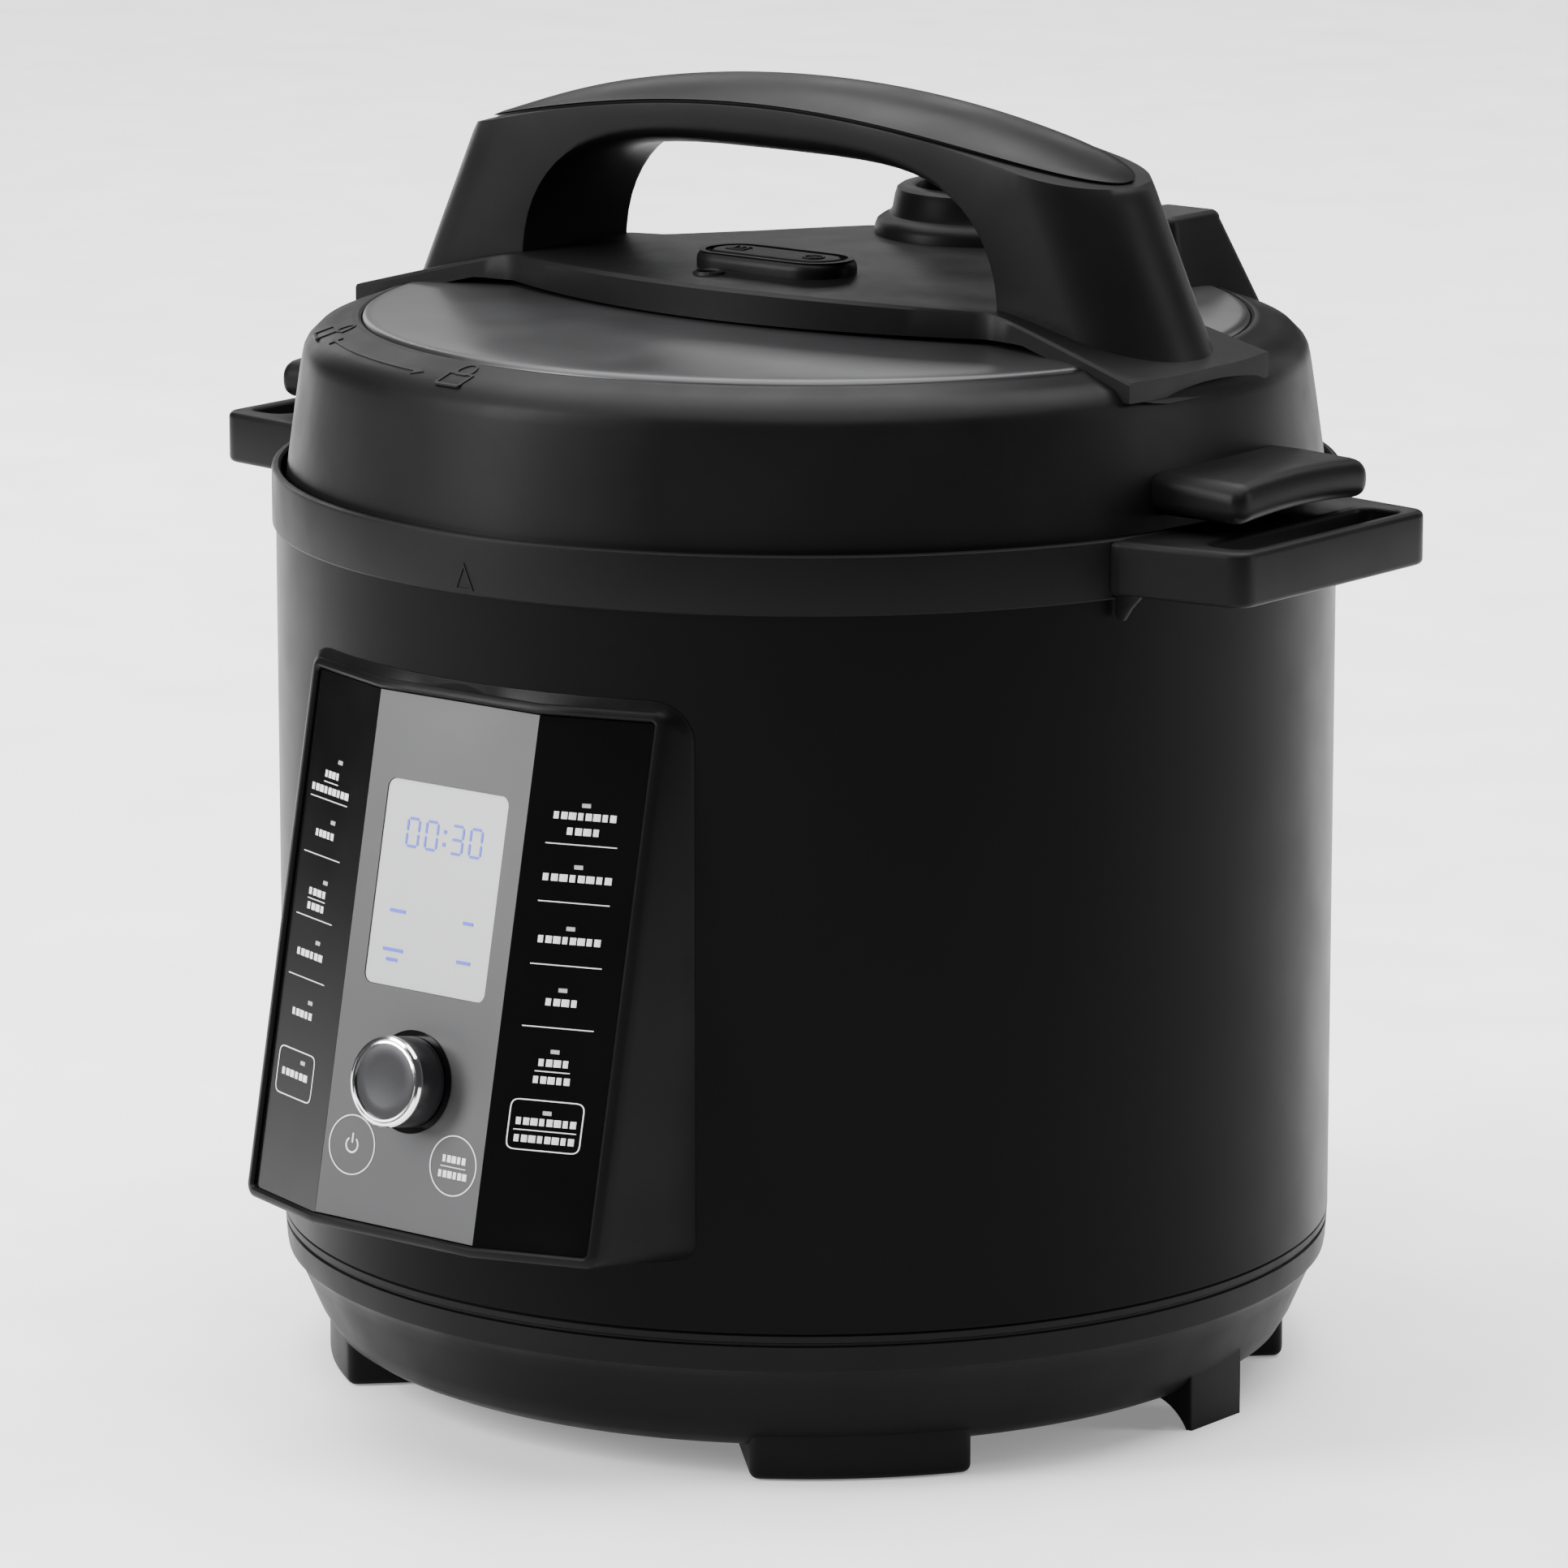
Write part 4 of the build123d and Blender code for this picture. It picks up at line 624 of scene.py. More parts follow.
def padlock(angle, is_open):
    """Generic padlock: an outlined body and a bow that is shut, or swung aside."""
    place = partial(on_ring, angle)
    body = rounded(rectangle(-4, 0, 4, 5.2), 0.5, steps=3)
    swing = 5.2 if is_open else 0
    bow = [(2.6 * cos(a) + swing, -1.0 + 3.4 * sin(a))
           for a in (radians(180 + 18 * k) for k in range(11))]
    bow += [(swing + 1.6, -0.8 if is_open else 0.3), (swing - 1.6, 0.3)]
    return [raised_outline(body, 0.7, place), raised_outline(bow, 0.6, place)]


def turn_arrow(start, end):
    """Arc with an arrow head at each end, between two angles on the ring."""
    section = ((1.6, -SUNK), (1.6, 0.3), (2.4, 0.3), (2.4, -SUNK))
    angles = [start + (end - start) * k / 26 for k in range(27)]
    arc = skinned([[on_ring(a, 0, v, lift) for v, lift in section] for a in angles], capped=True)
    head = [(-0.6, 0.2), (-0.6, 3.8), (2.4, 2.0)]
    return [arc] + [raised_patch(on_side(head, way), partial(on_ring, angle))
                    for angle, way in ((start, -1), (end, 1))]


def lid_ear(side):
    """Rounded grip over a carrying handle, arched along its length."""
    half_w, reach, middle, root_x = 27.5, 155.0, 1.5 * side, 124
    round_end = 4  # length over which each end is rounded off
    loops = []
    for y in (half_w * sin(radians(a)) for a in range(-90, 91, 6)):
        rest = max(0.0, abs(y) - (half_w - round_end)) / round_end
        shrink = round_end * (1 - sqrt(max(0.0, 1 - rest ** 2)))
        arch = 1.6 * (1 - (y / half_w) ** 2)
        low, high = 236.9 + arch + shrink, 246.6 + arch - shrink
        tip = reach - 0.2 - shrink * 0.8
        root_top = 247.6 + arch * 0.35 - shrink
        radius = min(4.4, (high - low) * 0.46)
        section = rounded([(root_x, low), (tip, low), (tip, high), (136, root_top),
                           (root_x, root_top)], [0, radius, radius, 0, 0], steps=6)
        loops.append([(side * x, y + middle, z) for x, z in section])
    return skinned(loops, capped=True)


# ---- Lid bridge: the crowned plate under the handle, with ramps down to the ring ----------
CORNER_X, CORNER_Y = 76.4, 25.0  # where the crowned middle meets a ramp
BULGE_Y, REAR_Y = 43.0, 69.0  # reach of the middle to the front and to the rear
RAMP_X, WING_Y, REAR_WING_Y = 125.4, 31.3, 27.6  # outer end of a ramp
SKIRT_TOP_R = 127.2


def bridge_top(x, y):
    """Height of the bridge and its ramps."""
    middle = 283.6 - 1.9 * min(1.0, abs(x) / CORNER_X) ** 2 + 1.0 - min(1.0, abs(y) / BULGE_Y)
    down = max(0.0, abs(x) - CORNER_X)
    return middle - 0.262 * down ** 2 / (down + 5.0)


def bridge_edges(x):
    """Front and rear Y of the bridge at x."""
    t = abs(x)
    if t <= CORNER_X:
        front = -(CORNER_Y + (BULGE_Y - CORNER_Y) * (1 - (t / CORNER_X) ** 2))
        return front, min(REAR_Y, CORNER_Y + 1.22 * max(0.0, 66 - t))
    spread = (t - CORNER_X) / (RAMP_X - CORNER_X)
    return -(CORNER_Y + (WING_Y - CORNER_Y) * spread), CORNER_Y + (REAR_WING_Y - CORNER_Y) * spread


def wing_end(y):
    """X of a wing's outer edge: flush with the skirt, and a little proud of it at the front."""
    return sqrt(SKIRT_TOP_R ** 2 - y ** 2) + 1.7 * max(0.0, -y / WING_Y)


def bridge():
    """Crowned plate with its ramps, a well for the rocker and a hole for the float pin."""
    under_z, wing_under_z, edge_fall = 275.3, 265.2, 0.9
    ramp = [CORNER_X + (RAMP_X - CORNER_X) * k / 16 for k in range(1, 17)]
    middle = [CORNER_X * k / 24 for k in range(-24, 25)]
    loops = []
    for station in [-x for x in reversed(ramp)] + middle + ramp:
        front, rear = bridge_edges(station)
        share = max(0.0, (abs(station) - CORNER_X) / (RAMP_X - CORNER_X))
        top, low = [], []
        for k in range(17):
            x, y = station, front + (rear - front) * (1 - cos(pi * k / 16)) / 2
            if share:
                x = copysign(CORNER_X + (wing_end(y) - CORNER_X) * share, station)
            edge = min(abs(y - front), abs(y - rear))
            z = bridge_top(x, y)
            top.append((x, y, z - edge_fall * max(0.0, 1 - edge / edge_fall) ** 2))
            under = min(under_z, z - 4.6)
            if share > 0.88:
                under = min(under, wing_under_z - 1.4 * min(1.0, max(0.0, (y + 26) / 6)))
            low.append((x, y, under))
        loops.append(list(reversed(low)) + top)
    well = slab(rocker_slot(40.4, 14.4), 279.4, 292, round_top=0.1)
    float_hole = slab(oval(3.0, 3.0, 40, FLOAT_AT), 270, 292, round_top=0.1)
    return cut(skinned(loops, capped=True), well, float_hole)


def float_rim():
    """Low ring round the float pin's hole."""
    outer, inner = oval(4.6, 3.9, 48, FLOAT_AT), oval(3.0, 3.0, 48, FLOAT_AT)
    foot_z = 283.4
    section = ((outer, 0), (inset(outer, 0.5), 1.2), (inset(inner, -0.4), 1.3), (inner, 0.9),
               (inner, -1))
    return skinned([[(x, y, foot_z + rise) for x, y in path] for path, rise in section], wrap=True)


def valve_lobe():
    """Round seat behind the bridge for the steam valve."""
    seat = slab(oval(30.6, 34, 96, (0, 73), power=2.05), 270.5, 283.4, round_top=1.2, round_low=0.2)
    return cut(seat, slab(oval(4.6, 4.6, 48, VALVE_AT), 265, 290, round_top=0.1))


def rear_block():
    """Leaning block beside the valve, rounded all round."""
    inner_x, rim, turns = 34.4, 2.4, 5
    low_z, low = 265.0, rectangle(inner_x, 78.6, 60.4, 116.0)
    high_z, high = 290.6, rectangle(inner_x, 84.0, 53.2, 107.0)
    levels = []
    for t in (k / 8 for k in range(9)):
        plan = [(a[0] + (b[0] - a[0]) * t, a[1] + (b[1] - a[1]) * t) for a, b in zip(low, high)]
        levels.append((low_z + (high_z - rim - low_z) * t, plan, 0.0))
    for turn in (pi / 2 * k / turns for k in range(1, turns + 1)):
        levels.append((high_z - rim * (1 - sin(turn)), high, rim * (1 - cos(turn))))
    return skinned([[(x, y, z) for x, y in inset(rounded(plan, 3.4), depth)]
                    for z, plan, depth in levels], capped=True)


marks = padlock(-44, True) + padlock(-6, False) + turn_arrow(-37, -13)
piece("lid_moulding",
      merged(lid_ring(), lid_ear(1), lid_ear(-1), bridge(), float_rim(), valve_lobe(), *marks),
      lid_plastic.mat, "lid", ("lid_cover",))
piece("rear_block", rear_block(), lid_plastic.mat, "lid", ("rear_housing",))

# ---- Lid handle ---------------------------------------------------------------------------
GRIP_HALF_W = body_high.y
SEAM_MID_Z, SEAM_END_X, SEAM_SAG, LEAN_OUT = 327.3, 103.6, 14.8, 0.467
SEAM_DROP = 1.3  # how far the seam falls from the middle of the handle to its long edges
ARCH_FOOT_Z, ARCH_RISE, ARCH_HALF_X = 278.0, 42.2, 76.8


def seam_z(x):
    """Height at which the handle's body and its cover meet."""
    return SEAM_MID_Z - SEAM_SAG * (x / SEAM_END_X) ** 2


def handle_end(z):
    """X of the handle's rounded end at height z, in the middle of its width."""
    return SEAM_END_X + (SEAM_MID_Z - SEAM_SAG - z) * LEAN_OUT


def arch_point(t):
    """Front edge of the arch below the handle, from its right foot (0) to its left foot (1)."""
    c, s = cos(pi * t), sin(pi * t)
    return copysign(ARCH_HALF_X * abs(c) ** 0.62, c), ARCH_FOOT_Z + ARCH_RISE * abs(s) ** 0.86


def handle_body():
    """Arch on two D-ended posts, skinned from its front face to its rear face."""
    post_heights = [271, 275, 281, 288, 295, 302, 308, 311]
    foot_x, foot_z = 77.4, 278.4
    loops = []
    for turn in range(-90, 91, 6):
        a = radians(turn)
        y, pull = GRIP_HALF_W * sin(a), GRIP_HALF_W * (1 - cos(a))
        is_face = abs(turn) == 90
        rim = 0.5 if is_face else 0.0
        belly = 0.0 if is_face else 6.9 * cos(a) ** 0.9
        top_x = handle_end(312.2) - pull - 0.8
        outline = [(handle_end(z) - pull, z) for z in post_heights]
        outline += [(x, seam_z(x) - rim - 0.2 - SEAM_DROP * sin(a) ** 2)
                    for x in (top_x * cos(pi * k / 40) for k in range(41))]
        outline += [(pull - handle_end(z), z) for z in reversed(post_heights)]
        # known fault: this repeated point leaves most of the rear face unfilled
        outline += [outline[-1], (-foot_x, foot_z)]
        for x, z in (arch_point(k / 32) for k in range(32, -1, -1)):
            rise = (z - ARCH_FOOT_Z) / ARCH_RISE
            outline.append((x + copysign(rim * 0.9, x) * (1 - rise),
                            z - belly * rise ** 3 + rim * rise))
        outline.append((foot_x, foot_z))
        loops.append([(x, y, z) for x, z in outline])
    bm = bmesh.new()
    rings = add_loops(bm, loops)
    for ring in (rings[0], rings[-1]):
        bmesh.ops.triangle_fill(bm, edges=ring_edges(bm, ring), use_beauty=True)
    bmesh.ops.dissolve_degenerate(bm, dist=1e-7, edges=bm.edges)
    bmesh.ops.recalc_face_normals(bm, faces=bm.faces)
    return bm


def grip_cover():
    """Crowned cover on top of the handle, inside its seam."""
    reach, half_w, count = 100.8, GRIP_HALF_W - 0.35, 160
    outline = [(x, copysign(half_w * sqrt(max(0.0, 1 - abs(x / reach) ** 4.4)), y))
               for x, y in oval(reach, half_w, count)]

    def seam(x, y):
        return seam_z(x) - SEAM_DROP * (y / half_w) ** 2

    def crown(x):
        return 4.25 * max(0.0, 1 - (x / reach) ** 2) ** 0.42

    loops = []
    for depth, lift in ((1.0, -0.8), (1.0, 0.25), (0.35, 0.45), (0.0, 0.8)):
        loops.append([(x, y, seam(x, y) + lift * (0.45 + 0.55 * crown(x) / 4.3))
                      for x, y in inset(outline, depth)])
    for s in (1 - (k / 12) ** 1.15 for k in range(1, 12)):
        edge = 1 - s ** 2.4
        ring = [(x * (1 - (1 - s) * 0.45), y * s) for x, y in outline]
        loops.append([(x, y, seam(x, y) + 0.8 * (1 - edge) + crown(x) * edge) for x, y in ring])
    bm = bmesh.new()
    rings = add_loops(bm, loops)
    bmesh.ops.triangle_fill(bm, edges=ring_edges(bm, rings[0]), use_beauty=True)
    top = rings[-1]
    last = count // 2 - 1
    for k in range(1, last):
        bm.faces.new((top[k], top[k + 1], top[-k - 1], top[-k]))
    bm.faces.new((top[0], top[1], top[-1]))
    bm.faces.new(top[last:last + 3])
    bmesh.ops.recalc_face_normals(bm, faces=bm.faces)
    return bm


piece("handle_arch", handle_body(), lid_plastic.mat, "lid", ("handle_body",))
piece("handle_cover", grip_cover(), grip_plastic.mat, "lid", ("handle_grip",),
      sharp=50)


# ---- Panel --------------------------------------------------------------------------------
def on_panel(x, down, lift):
    """A point over the three facets: x across, down from the top edge, lifted off the surface."""
    back = FACET_BACK * max(0.0, abs(x) - FOLD_X) / (FACET_X - FOLD_X)
    z = PANEL_TOP_Z - down * cos(LEAN_ANGLE) + lift * sin(LEAN_ANGLE)
    y = PANEL_TOP_Y - down * sin(LEAN_ANGLE) - lift * cos(LEAN_ANGLE) + back
    return (x, y, z)


def frame_loop(half_w, top, low, radius, place, top_radius=None):
    """Rounded rectangle with a fixed number of points, some of them where the facets fold."""
    stops_x = [FOLD_X * k / 5 for k in range(-9, 10, 2)]
    corners = []
    for side, end, start in ((-1, low, 180), (1, low, 270), (1, top, 0), (-1, top, 90)):
        r, inward = (radius, -1) if end == low else (top_radius or radius, 1)
        turns = [radians(start + 15 * k) for k in range(7)]
        corners.append([(side * (half_w - r) + r * cos(a), end + inward * r - r * sin(a))
                        for a in turns])
    loop = corners[0] + [(x, low) for x in stops_x] + corners[1]
    loop += [(half_w, low + (top - low) * k / 5) for k in range(1, 5)]
    loop += corners[2] + [(x, top) for x in reversed(stops_x)] + corners[3]
    loop += [(-half_w, top + (low - top) * k / 5) for k in range(1, 5)]
    return [place(x, y) for x, y in loop]


def housing():
    """Moulded frame: bright rolled rim round the facets, then walls back to the shell."""
    rise, slope = 1.4, PANEL_LEN
    high_z, low_z = 197.6, 58.6
    middle_z = 128.5

    def on_shell(x, down):
        z = high_z - (down + 6) * (high_z - low_z) / (slope + 12)
        return (x, -sqrt((BODY_R + 0.2) ** 2 - x ** 2), z)

    def front(half_w, out, radius, lift):
        return frame_loop(half_w, -out, slope + out, radius, partial(on_panel, lift=lift))

    loops = [front(53.4, -0.4, 0.8, -2.0), front(54.05, 0.25, 1.0, -0.3),
             front(54.15, 0.35, 1.1, 0.5), front(54.5, 0.6, 1.3, 0.95),
             front(55.1, 1.1, 1.8, rise - 0.1), front(55.9, 1.8, 2.3, rise - 0.15),
             front(56.7, 2.5, 2.9, 0.8)]
    foot = frame_loop(61.6, -6, slope + 6, 4.5, on_shell, 10)
    for t, radius in ((0.0, 3.2), (0.12, 3.4), (0.35, 3.6), (0.6, 4.0), (0.85, 4.4), (1.0, 4.6)):
        loops.append([tuple(a + (b - a) * t for a, b in zip(p, q))
                      for p, q in zip(front(57.1, 2.9, radius, rise * 0.2), foot)])
    loops.append([(x * 0.9, y * 0.93, middle_z + (z - middle_z) * 0.93) for x, y, z in foot])
    return skinned(loops)


piece("panel_frame", housing(), housing_plastic.mat, "cooker", ("panel_housing",),
      sharp=30)

PRINT_T = 0.12


def on_print(u, v, lift):
    """A point of a print; v counts up the panel."""
    return on_panel(u, -v, lift)


def print_patch(path):
    """Thin printed patch on the panel; path holds (x, up) points."""
    return raised_patch(path, on_print, PRINT_T)


def bar(x, down, width, thickness):
    """A printed bar centred on (x, down)."""
    w, t = width / 2, thickness / 2
    return print_patch(rectangle(x - w, -down - t, x + w, t - down))


def print_ring(path):
    """Printed closed line."""
    return raised_outline(path, 0.26, on_print, PRINT_T)


def dashes(x, down, width, count):
    """A row of small blocks that stands for a caption."""
    pitch = width / count
    return [bar(x - width / 2 + pitch * (k + 0.5), down, pitch * (0.62 + 0.14 * (k % 3)), 1.75)
            for k in range(count)]


def caption_box(x, top, low, half_w):
    """Rounded outline round the last caption of a strip."""
    return print_ring(rounded(rectangle(x - half_w, -low, x + half_w, -top), 2.0, steps=4))


RIGHT_X = (FOLD_X + FACET_X) / 2
LEFT_X = -RIGHT_X - 3.0
# centre, distance down, width and number of blocks of each caption row
CAPTIONS = [
    (RIGHT_X, 23.7, 16.0, 8), (RIGHT_X, 27.4, 8.6, 4), (RIGHT_X, 38.8, 17.6, 8),
    (RIGHT_X, 53.9, 16.0, 8), (RIGHT_X, 69.0, 8.4, 4), (RIGHT_X, 83.8, 8.0, 4),
    (RIGHT_X, 88.0, 9.6, 5), (RIGHT_X, 98.3, 15.4, 8), (RIGHT_X, 102.5, 15.4, 8),
    (LEFT_X, 24.6, 6.8, 4), (LEFT_X, 28.6, 17.4, 9), (LEFT_X, 39.4, 8.8, 5),
    (LEFT_X, 54.0, 8.2, 4), (LEFT_X, 57.6, 8.2, 4), (LEFT_X, 69.4, 12.2, 6),
    (LEFT_X, 84.2, 9.6, 5), (LEFT_X, 99.4, 12.2, 6),
]
# centre, distance down and width of each thin line
LINES = [
    (RIGHT_X, 30.6, 17.6), (RIGHT_X, 44.7, 17.6), (RIGHT_X, 60.0, 17.6), (RIGHT_X, 75.2, 17.6),
    (RIGHT_X, 85.9, 8.6), (RIGHT_X, 100.4, 15.4), (LEFT_X, 26.6, 6.4), (LEFT_X, 30.9, 17.0),
    (LEFT_X, 44.8, 16.6), (LEFT_X, 55.8, 8.0), (LEFT_X, 60.4, 16.6), (LEFT_X, 75.4, 16.6),
]
prints = [caption_box(RIGHT_X, 93.0, 105.2, 9.0), caption_box(LEFT_X + 0.4, 93.4, 105.0, 8.2)]
for x, down, width, count in CAPTIONS:
    prints += dashes(x, down, width, count)
for x, down, width in LINES:
    prints.append(bar(x, down, width, 0.24))

BUTTON_DOWN, BUTTON_X, BUTTON_R = 111.6, 16.4, 7.3
for side in (-1, 1):
    prints.append(print_ring(oval(BUTTON_R, BUTTON_R, 56, (side * BUTTON_X, -BUTTON_DOWN))))
power_ring = [(r * sin(radians(a)) - BUTTON_X, r * cos(radians(a)) - BUTTON_DOWN)
              for r, turns in ((2.1, range(35, 326, 15)), (1.65, range(325, 34, -15)))
              for a in turns]
prints.append(print_patch(list(reversed(power_ring))))
prints.append(bar(-BUTTON_X, BUTTON_DOWN - 1.7, 0.45, 2.4))
prints += dashes(BUTTON_X, BUTTON_DOWN - 1.5, 7.8, 5)
prints += dashes(BUTTON_X, BUTTON_DOWN + 2.3, 9.4, 6)
prints.append(bar(BUTTON_X, BUTTON_DOWN + 0.4, 8.0, 0.22))
piece("panel_print", merged(*prints), print_white.mat, "cooker")

# digits and marks seen through the display
SEGMENTS = {"0": "abcdef", "3": "abcdg"}
DIGIT_W, DIGIT_H, STROKE = 3.6, 6.8, 0.62
COLON_X, COLON_HALF = 0.4, 0.45
DISPLAY_LIFT = -0.16  # just below the face of the display window


def digit(symbol, x, down):
    """Seven-segment digit with its upper left corner at (x, down)."""
    w, h, t = DIGIT_W, DIGIT_H, STROKE
    spots = {"a": (w / 2, 0, 1), "g": (w / 2, h / 2, 1), "d": (w / 2, h, 1), "f": (0, h / 4, 0),
             "e": (0, 3 * h / 4, 0), "b": (w, h / 4, 0), "c": (w, 3 * h / 4, 0)}
    out = []
    for name in SEGMENTS[symbol]:
        cx, cy, is_level = spots[name]
        reach = (w if is_level else h / 2) / 2 - 0.25
        along = (1, 0) if is_level else (0, 1)
        ends = [(-reach, 0), (-reach + t / 2, -t / 2), (reach - t / 2, -t / 2), (reach, 0),
                (reach - t / 2, t / 2), (-reach + t / 2, t / 2)]
        out.append([(x + cx + u * along[0] + v * along[1], down + cy + u * along[1] + v * along[0])
                    for u, v in ends])
    return out


def display_patch(path):
    return skinned([[on_panel(x, down, lift) for x, down in path]
                    for lift in (DISPLAY_LIFT - 0.14, DISPLAY_LIFT)], capped=True)


shown = []
for symbol, x in (("0", -11.6), ("0", -5.6), ("3", 2.6), ("0", 8.6)):
    shown += digit(symbol, x, 30.0)
shown += [rectangle(COLON_X - COLON_HALF, down - COLON_HALF, COLON_X + COLON_HALF, down + COLON_HALF)
          for down in (31.9, 35.0)]
for x, down, half_w in ((-11.5, 53.0, 2.5), (-11.5, 62.6, 3.2), (11.2, 53.0, 1.6),
                        (11.2, 62.6, 2.2), (-11.5, 65.0, 1.8)):
    shown.append(rectangle(x - half_w, down - 0.4, x + half_w, down + 0.4))
piece("display_marks", merged(*[display_patch(path) for path in shown]), digit_blue.mat, "cooker")


# ---- Knob ---------------------------------------------------------------------------------
def on_knob(x, down, lift):
    return on_panel(x, KNOB_DOWN + down, lift)


KNOB_R, KNOB_STEPS = 11.25, 96
knob_side_curve = [(3.2, 0.5), (KNOB_R - 0.5, 0.5), (KNOB_R - 0.1, 1.0), (KNOB_R - 0.15, 8.6),
                   (KNOB_R - 0.5, 9.2), (3.2, 9.2)]
knob_trim_curve = [(KNOB_R - 0.5, 8.7), (KNOB_R - 0.05, 8.9), (KNOB_R, 9.5), (KNOB_R - 0.4, 10.15),
                   (KNOB_R - 1.0, 10.35), (KNOB_R - 1.15, 10.1), (KNOB_R - 1.3, 10.1),
                   (KNOB_R - 1.45, 10.4), (KNOB_R - 1.9, 10.45), (KNOB_R - 2.05, 9.9),
                   (KNOB_R - 2.2, 9.0)]
knob_face_curve = [(0, 8.5), (KNOB_R - 2.1, 8.5), (KNOB_R - 2.0, 10.0), (KNOB_R - 2.5, 10.1),
                   (6, 9.95), (3, 9.85), (0, 9.8)]
piece("knob_body", spun(knob_side_curve, KNOB_STEPS, on_knob), knob_side.mat, "knob",
      ("knob",))
piece("knob_trim", spun(knob_trim_curve, KNOB_STEPS, on_knob), chrome.mat, "knob",
      ("knob_ring",))
piece("knob_face", spun(knob_face_curve, KNOB_STEPS, on_knob), knob_face.mat, "knob")

# ---- Steam valve --------------------------------------------------------------------------
valve_curve = [(12, 283.0), (29, 283.0), (29, 285.4), (28.4, 286.9), (27.0, 287.9), (25.2, 288.6),
               (24.4, 290.0), (23.8, 293.4), (23.2, 295.2), (22.0, 296.0), (19.4, 296.2),
               (18.2, 295.6), (17.4, 293.6), (17.0, 288.4), (12, 288.0)]
weight_curve = [(0, 303), (4.2, 303), (4.2, 297.2), (15.6, 297.2), (16.2, 297.8), (16.6, 299.0),
                (16.4, 306.8), (15.6, 308.2), (14.0, 308.8), (5, 309.0), (0, 309.0)]
piece("valve_seat", lathe(valve_curve, 128, VALVE_AT), lid_plastic.mat, "lid",
      ("valve_collar",))
piece("weight_cap", lathe(weight_curve, 96, VALVE_AT), grip_plastic.mat, "weight",
      ("valve_weight",))

# ---- Rocker and its bezel -----------------------------------------------------------------
piece("rocker_frame", slab(rocker_slot(46.0, 21.0), 281.4, bezel_high.z, round_top=2.2,
                           round_low=0.2, hole=rocker_slot(40.6, 14.6)),
      lid_plastic.mat, "lid", ("rocker_bezel",))


def rocker():
    """Two-way cap: three wisps of steam at one end, a shut valve at the other."""
    top = rocker_high.z - 0.35
    steam_x, shut_x = -12, 12

    def on_cap(middle, u, v, lift):
        return (middle + u, ROCKER_Y + v, top + lift)

    over_steam, over_shut = partial(on_cap, steam_x), partial(on_cap, shut_x)
    parts = [slab(rocker_slot(39.2, 13.6), 282.8, top, round_top=1.4, round_low=0.6),
             raised_patch(rectangle(-3, -2.2, 3, -1.5), over_steam)]
    for dx in (-2.0, 0, 2.0):
        wave = [(dx - 0.3 + 0.4 * sin(k * pi / 3), -0.9 + k * 0.55) for k in range(7)]
        edge = [(x + 0.6, y) for x, y in reversed(wave)]
        parts.append(raised_patch(list(reversed(wave + edge)), over_steam))
    parts.append(raised_outline(oval(2.6, 2.6, 24), 0.6, over_shut))
    parts.append(raised_patch(rectangle(-1.3, -0.35, 1.3, 0.35), over_shut))
    return merged(*parts)


piece("rocker_cap", rocker(), lid_plastic.mat, "rocker", ("rocker_button",))

# ---- Camera, lights and floor -------------------------------------------------------------
VIEW_AZIMUTH, VIEW_ELEVATION, VIEW_DISTANCE = radians(38.6), radians(12.23), 2.145
AIM = Vector((0, 0, 0.149))
FOCAL_WIDTHS = 10292 / 1932  # focal length over the image's width
AXIS_SHIFT = -27.5 / 1932
back = Vector((sin(VIEW_AZIMUTH) * cos(VIEW_ELEVATION), -cos(VIEW_AZIMUTH) * cos(VIEW_ELEVATION),
               sin(VIEW_ELEVATION)))
camera_data = bpy.data.cameras.new("camera")
camera_data.sensor_width = 36
camera_data.lens = 36 * FOCAL_WIDTHS
camera_data.shift_x = AXIS_SHIFT
camera_data.clip_end = 50
camera = bpy.data.objects.new("camera", camera_data)
camera.location = AIM + back * VIEW_DISTANCE
camera.rotation_euler = back.to_track_quat("Z", "Y").to_euler()
bpy.context.scene.collection.objects.link(camera)
bpy.context.scene.camera = camera


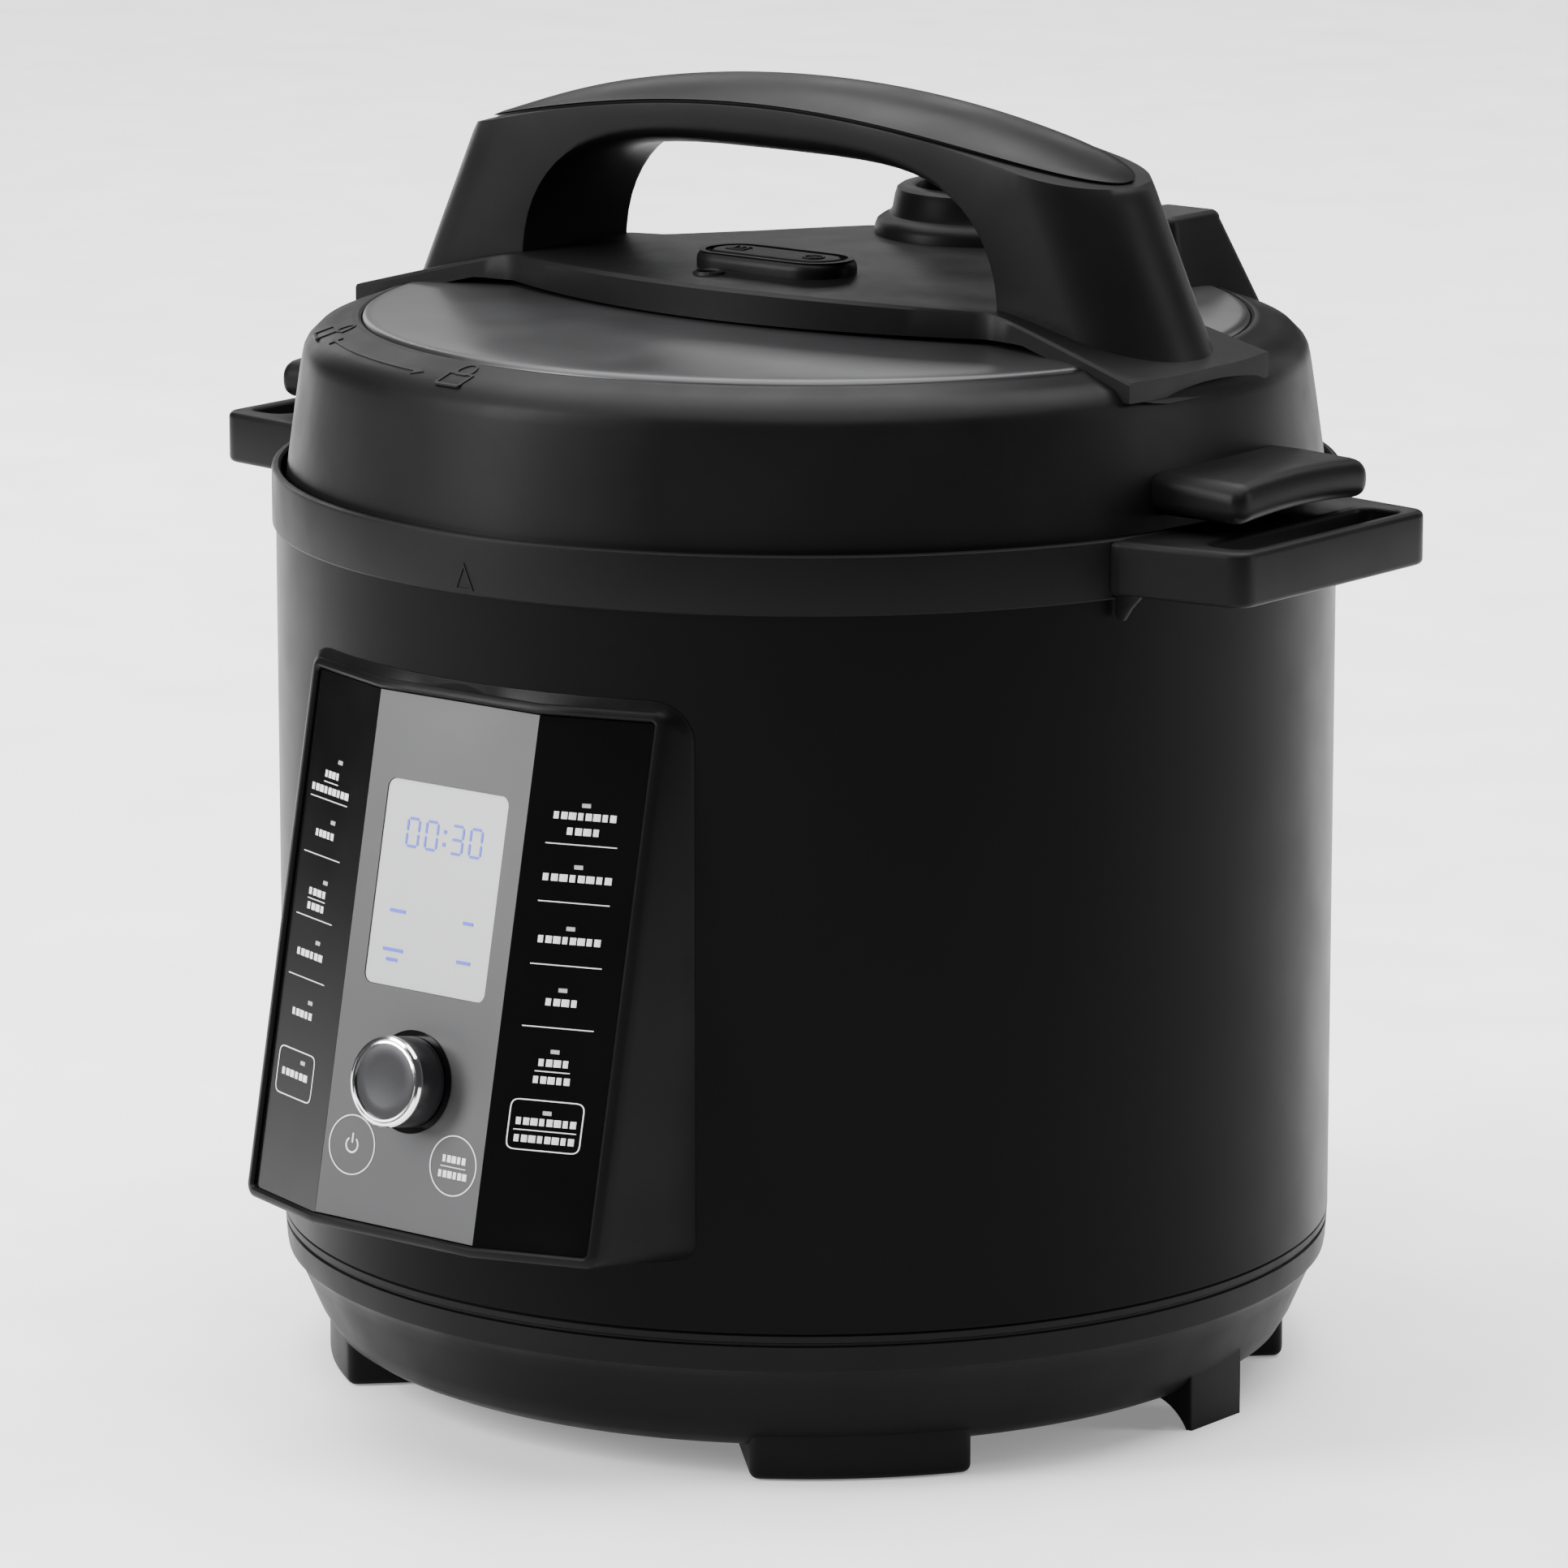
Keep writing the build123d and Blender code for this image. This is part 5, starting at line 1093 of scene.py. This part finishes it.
def softbox(name, azimuth, height, distance, size, power, aim=(0, 0, 0.15)):
    """An area light at an azimuth counted from the front towards +X, facing the object."""
    data = bpy.data.lights.new(name, "AREA")
    data.shape = "RECTANGLE"
    data.size, data.size_y = size
    data.energy = power
    light = bpy.data.objects.new(name, data)
    light.location = (distance * sin(radians(azimuth)), -distance * cos(radians(azimuth)), height)
    light.rotation_euler = (light.location - Vector(aim)).to_track_quat("Z", "Y").to_euler()
    bpy.context.scene.collection.objects.link(light)


softbox("key_left", -34, 0.95, 1.6, (0.5, 1.2), 58)
softbox("fill_right", 121, 0.7, 1.8, (0.4, 1.3), 16)
softbox("rim_left", -118, 0.6, 1.5, (0.2, 1.2), 3.5)
softbox("rim_right", 178, 0.7, 1.5, (0.3, 1.2), 2)
softbox("dome_light", -141, 1.0, 2.3, (1.0, 0.4), 2.6)
softbox("overhead", -141, 3.4, 0.9, (5, 5), 560, aim=(-0.55, 0.7, 0))

world = bpy.data.worlds.new("studio")
world.use_nodes = True
bpy.context.scene.world = world
sky = world.node_tree
seen = sky.nodes.new("ShaderNodeLightPath").outputs["Is Camera Ray"]
level = sky.nodes.new("ShaderNodeMapRange")
level.inputs["To Min"].default_value = 0.06
level.inputs["To Max"].default_value = 1.0
sky.links.new(seen, level.inputs["Value"])
sky.nodes["Background"].inputs["Color"].default_value = (1, 1, 1, 1)
sky.links.new(level.outputs[0], sky.nodes["Background"].inputs["Strength"])

floor_bm = bmesh.new()
bmesh.ops.create_grid(floor_bm, x_segments=8, y_segments=8, size=6)
floor_mesh = bpy.data.meshes.new("floor")
floor_bm.to_mesh(floor_mesh)
floor_bm.free()
floor_paper = painted("floor_paper", (0.86, 0.86, 0.86), 0.9, 2.0, 0.01)
floor_paper.shader.inputs["Emission Color"].default_value = (1, 1, 1, 1)
floor_paper.shader.inputs["Emission Strength"].default_value = 0.25
floor_mesh.materials.append(floor_paper.mat)
floor = bpy.data.objects.new("floor", floor_mesh)
bpy.context.scene.collection.objects.link(floor)

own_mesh(nodes["sensor_spring"])
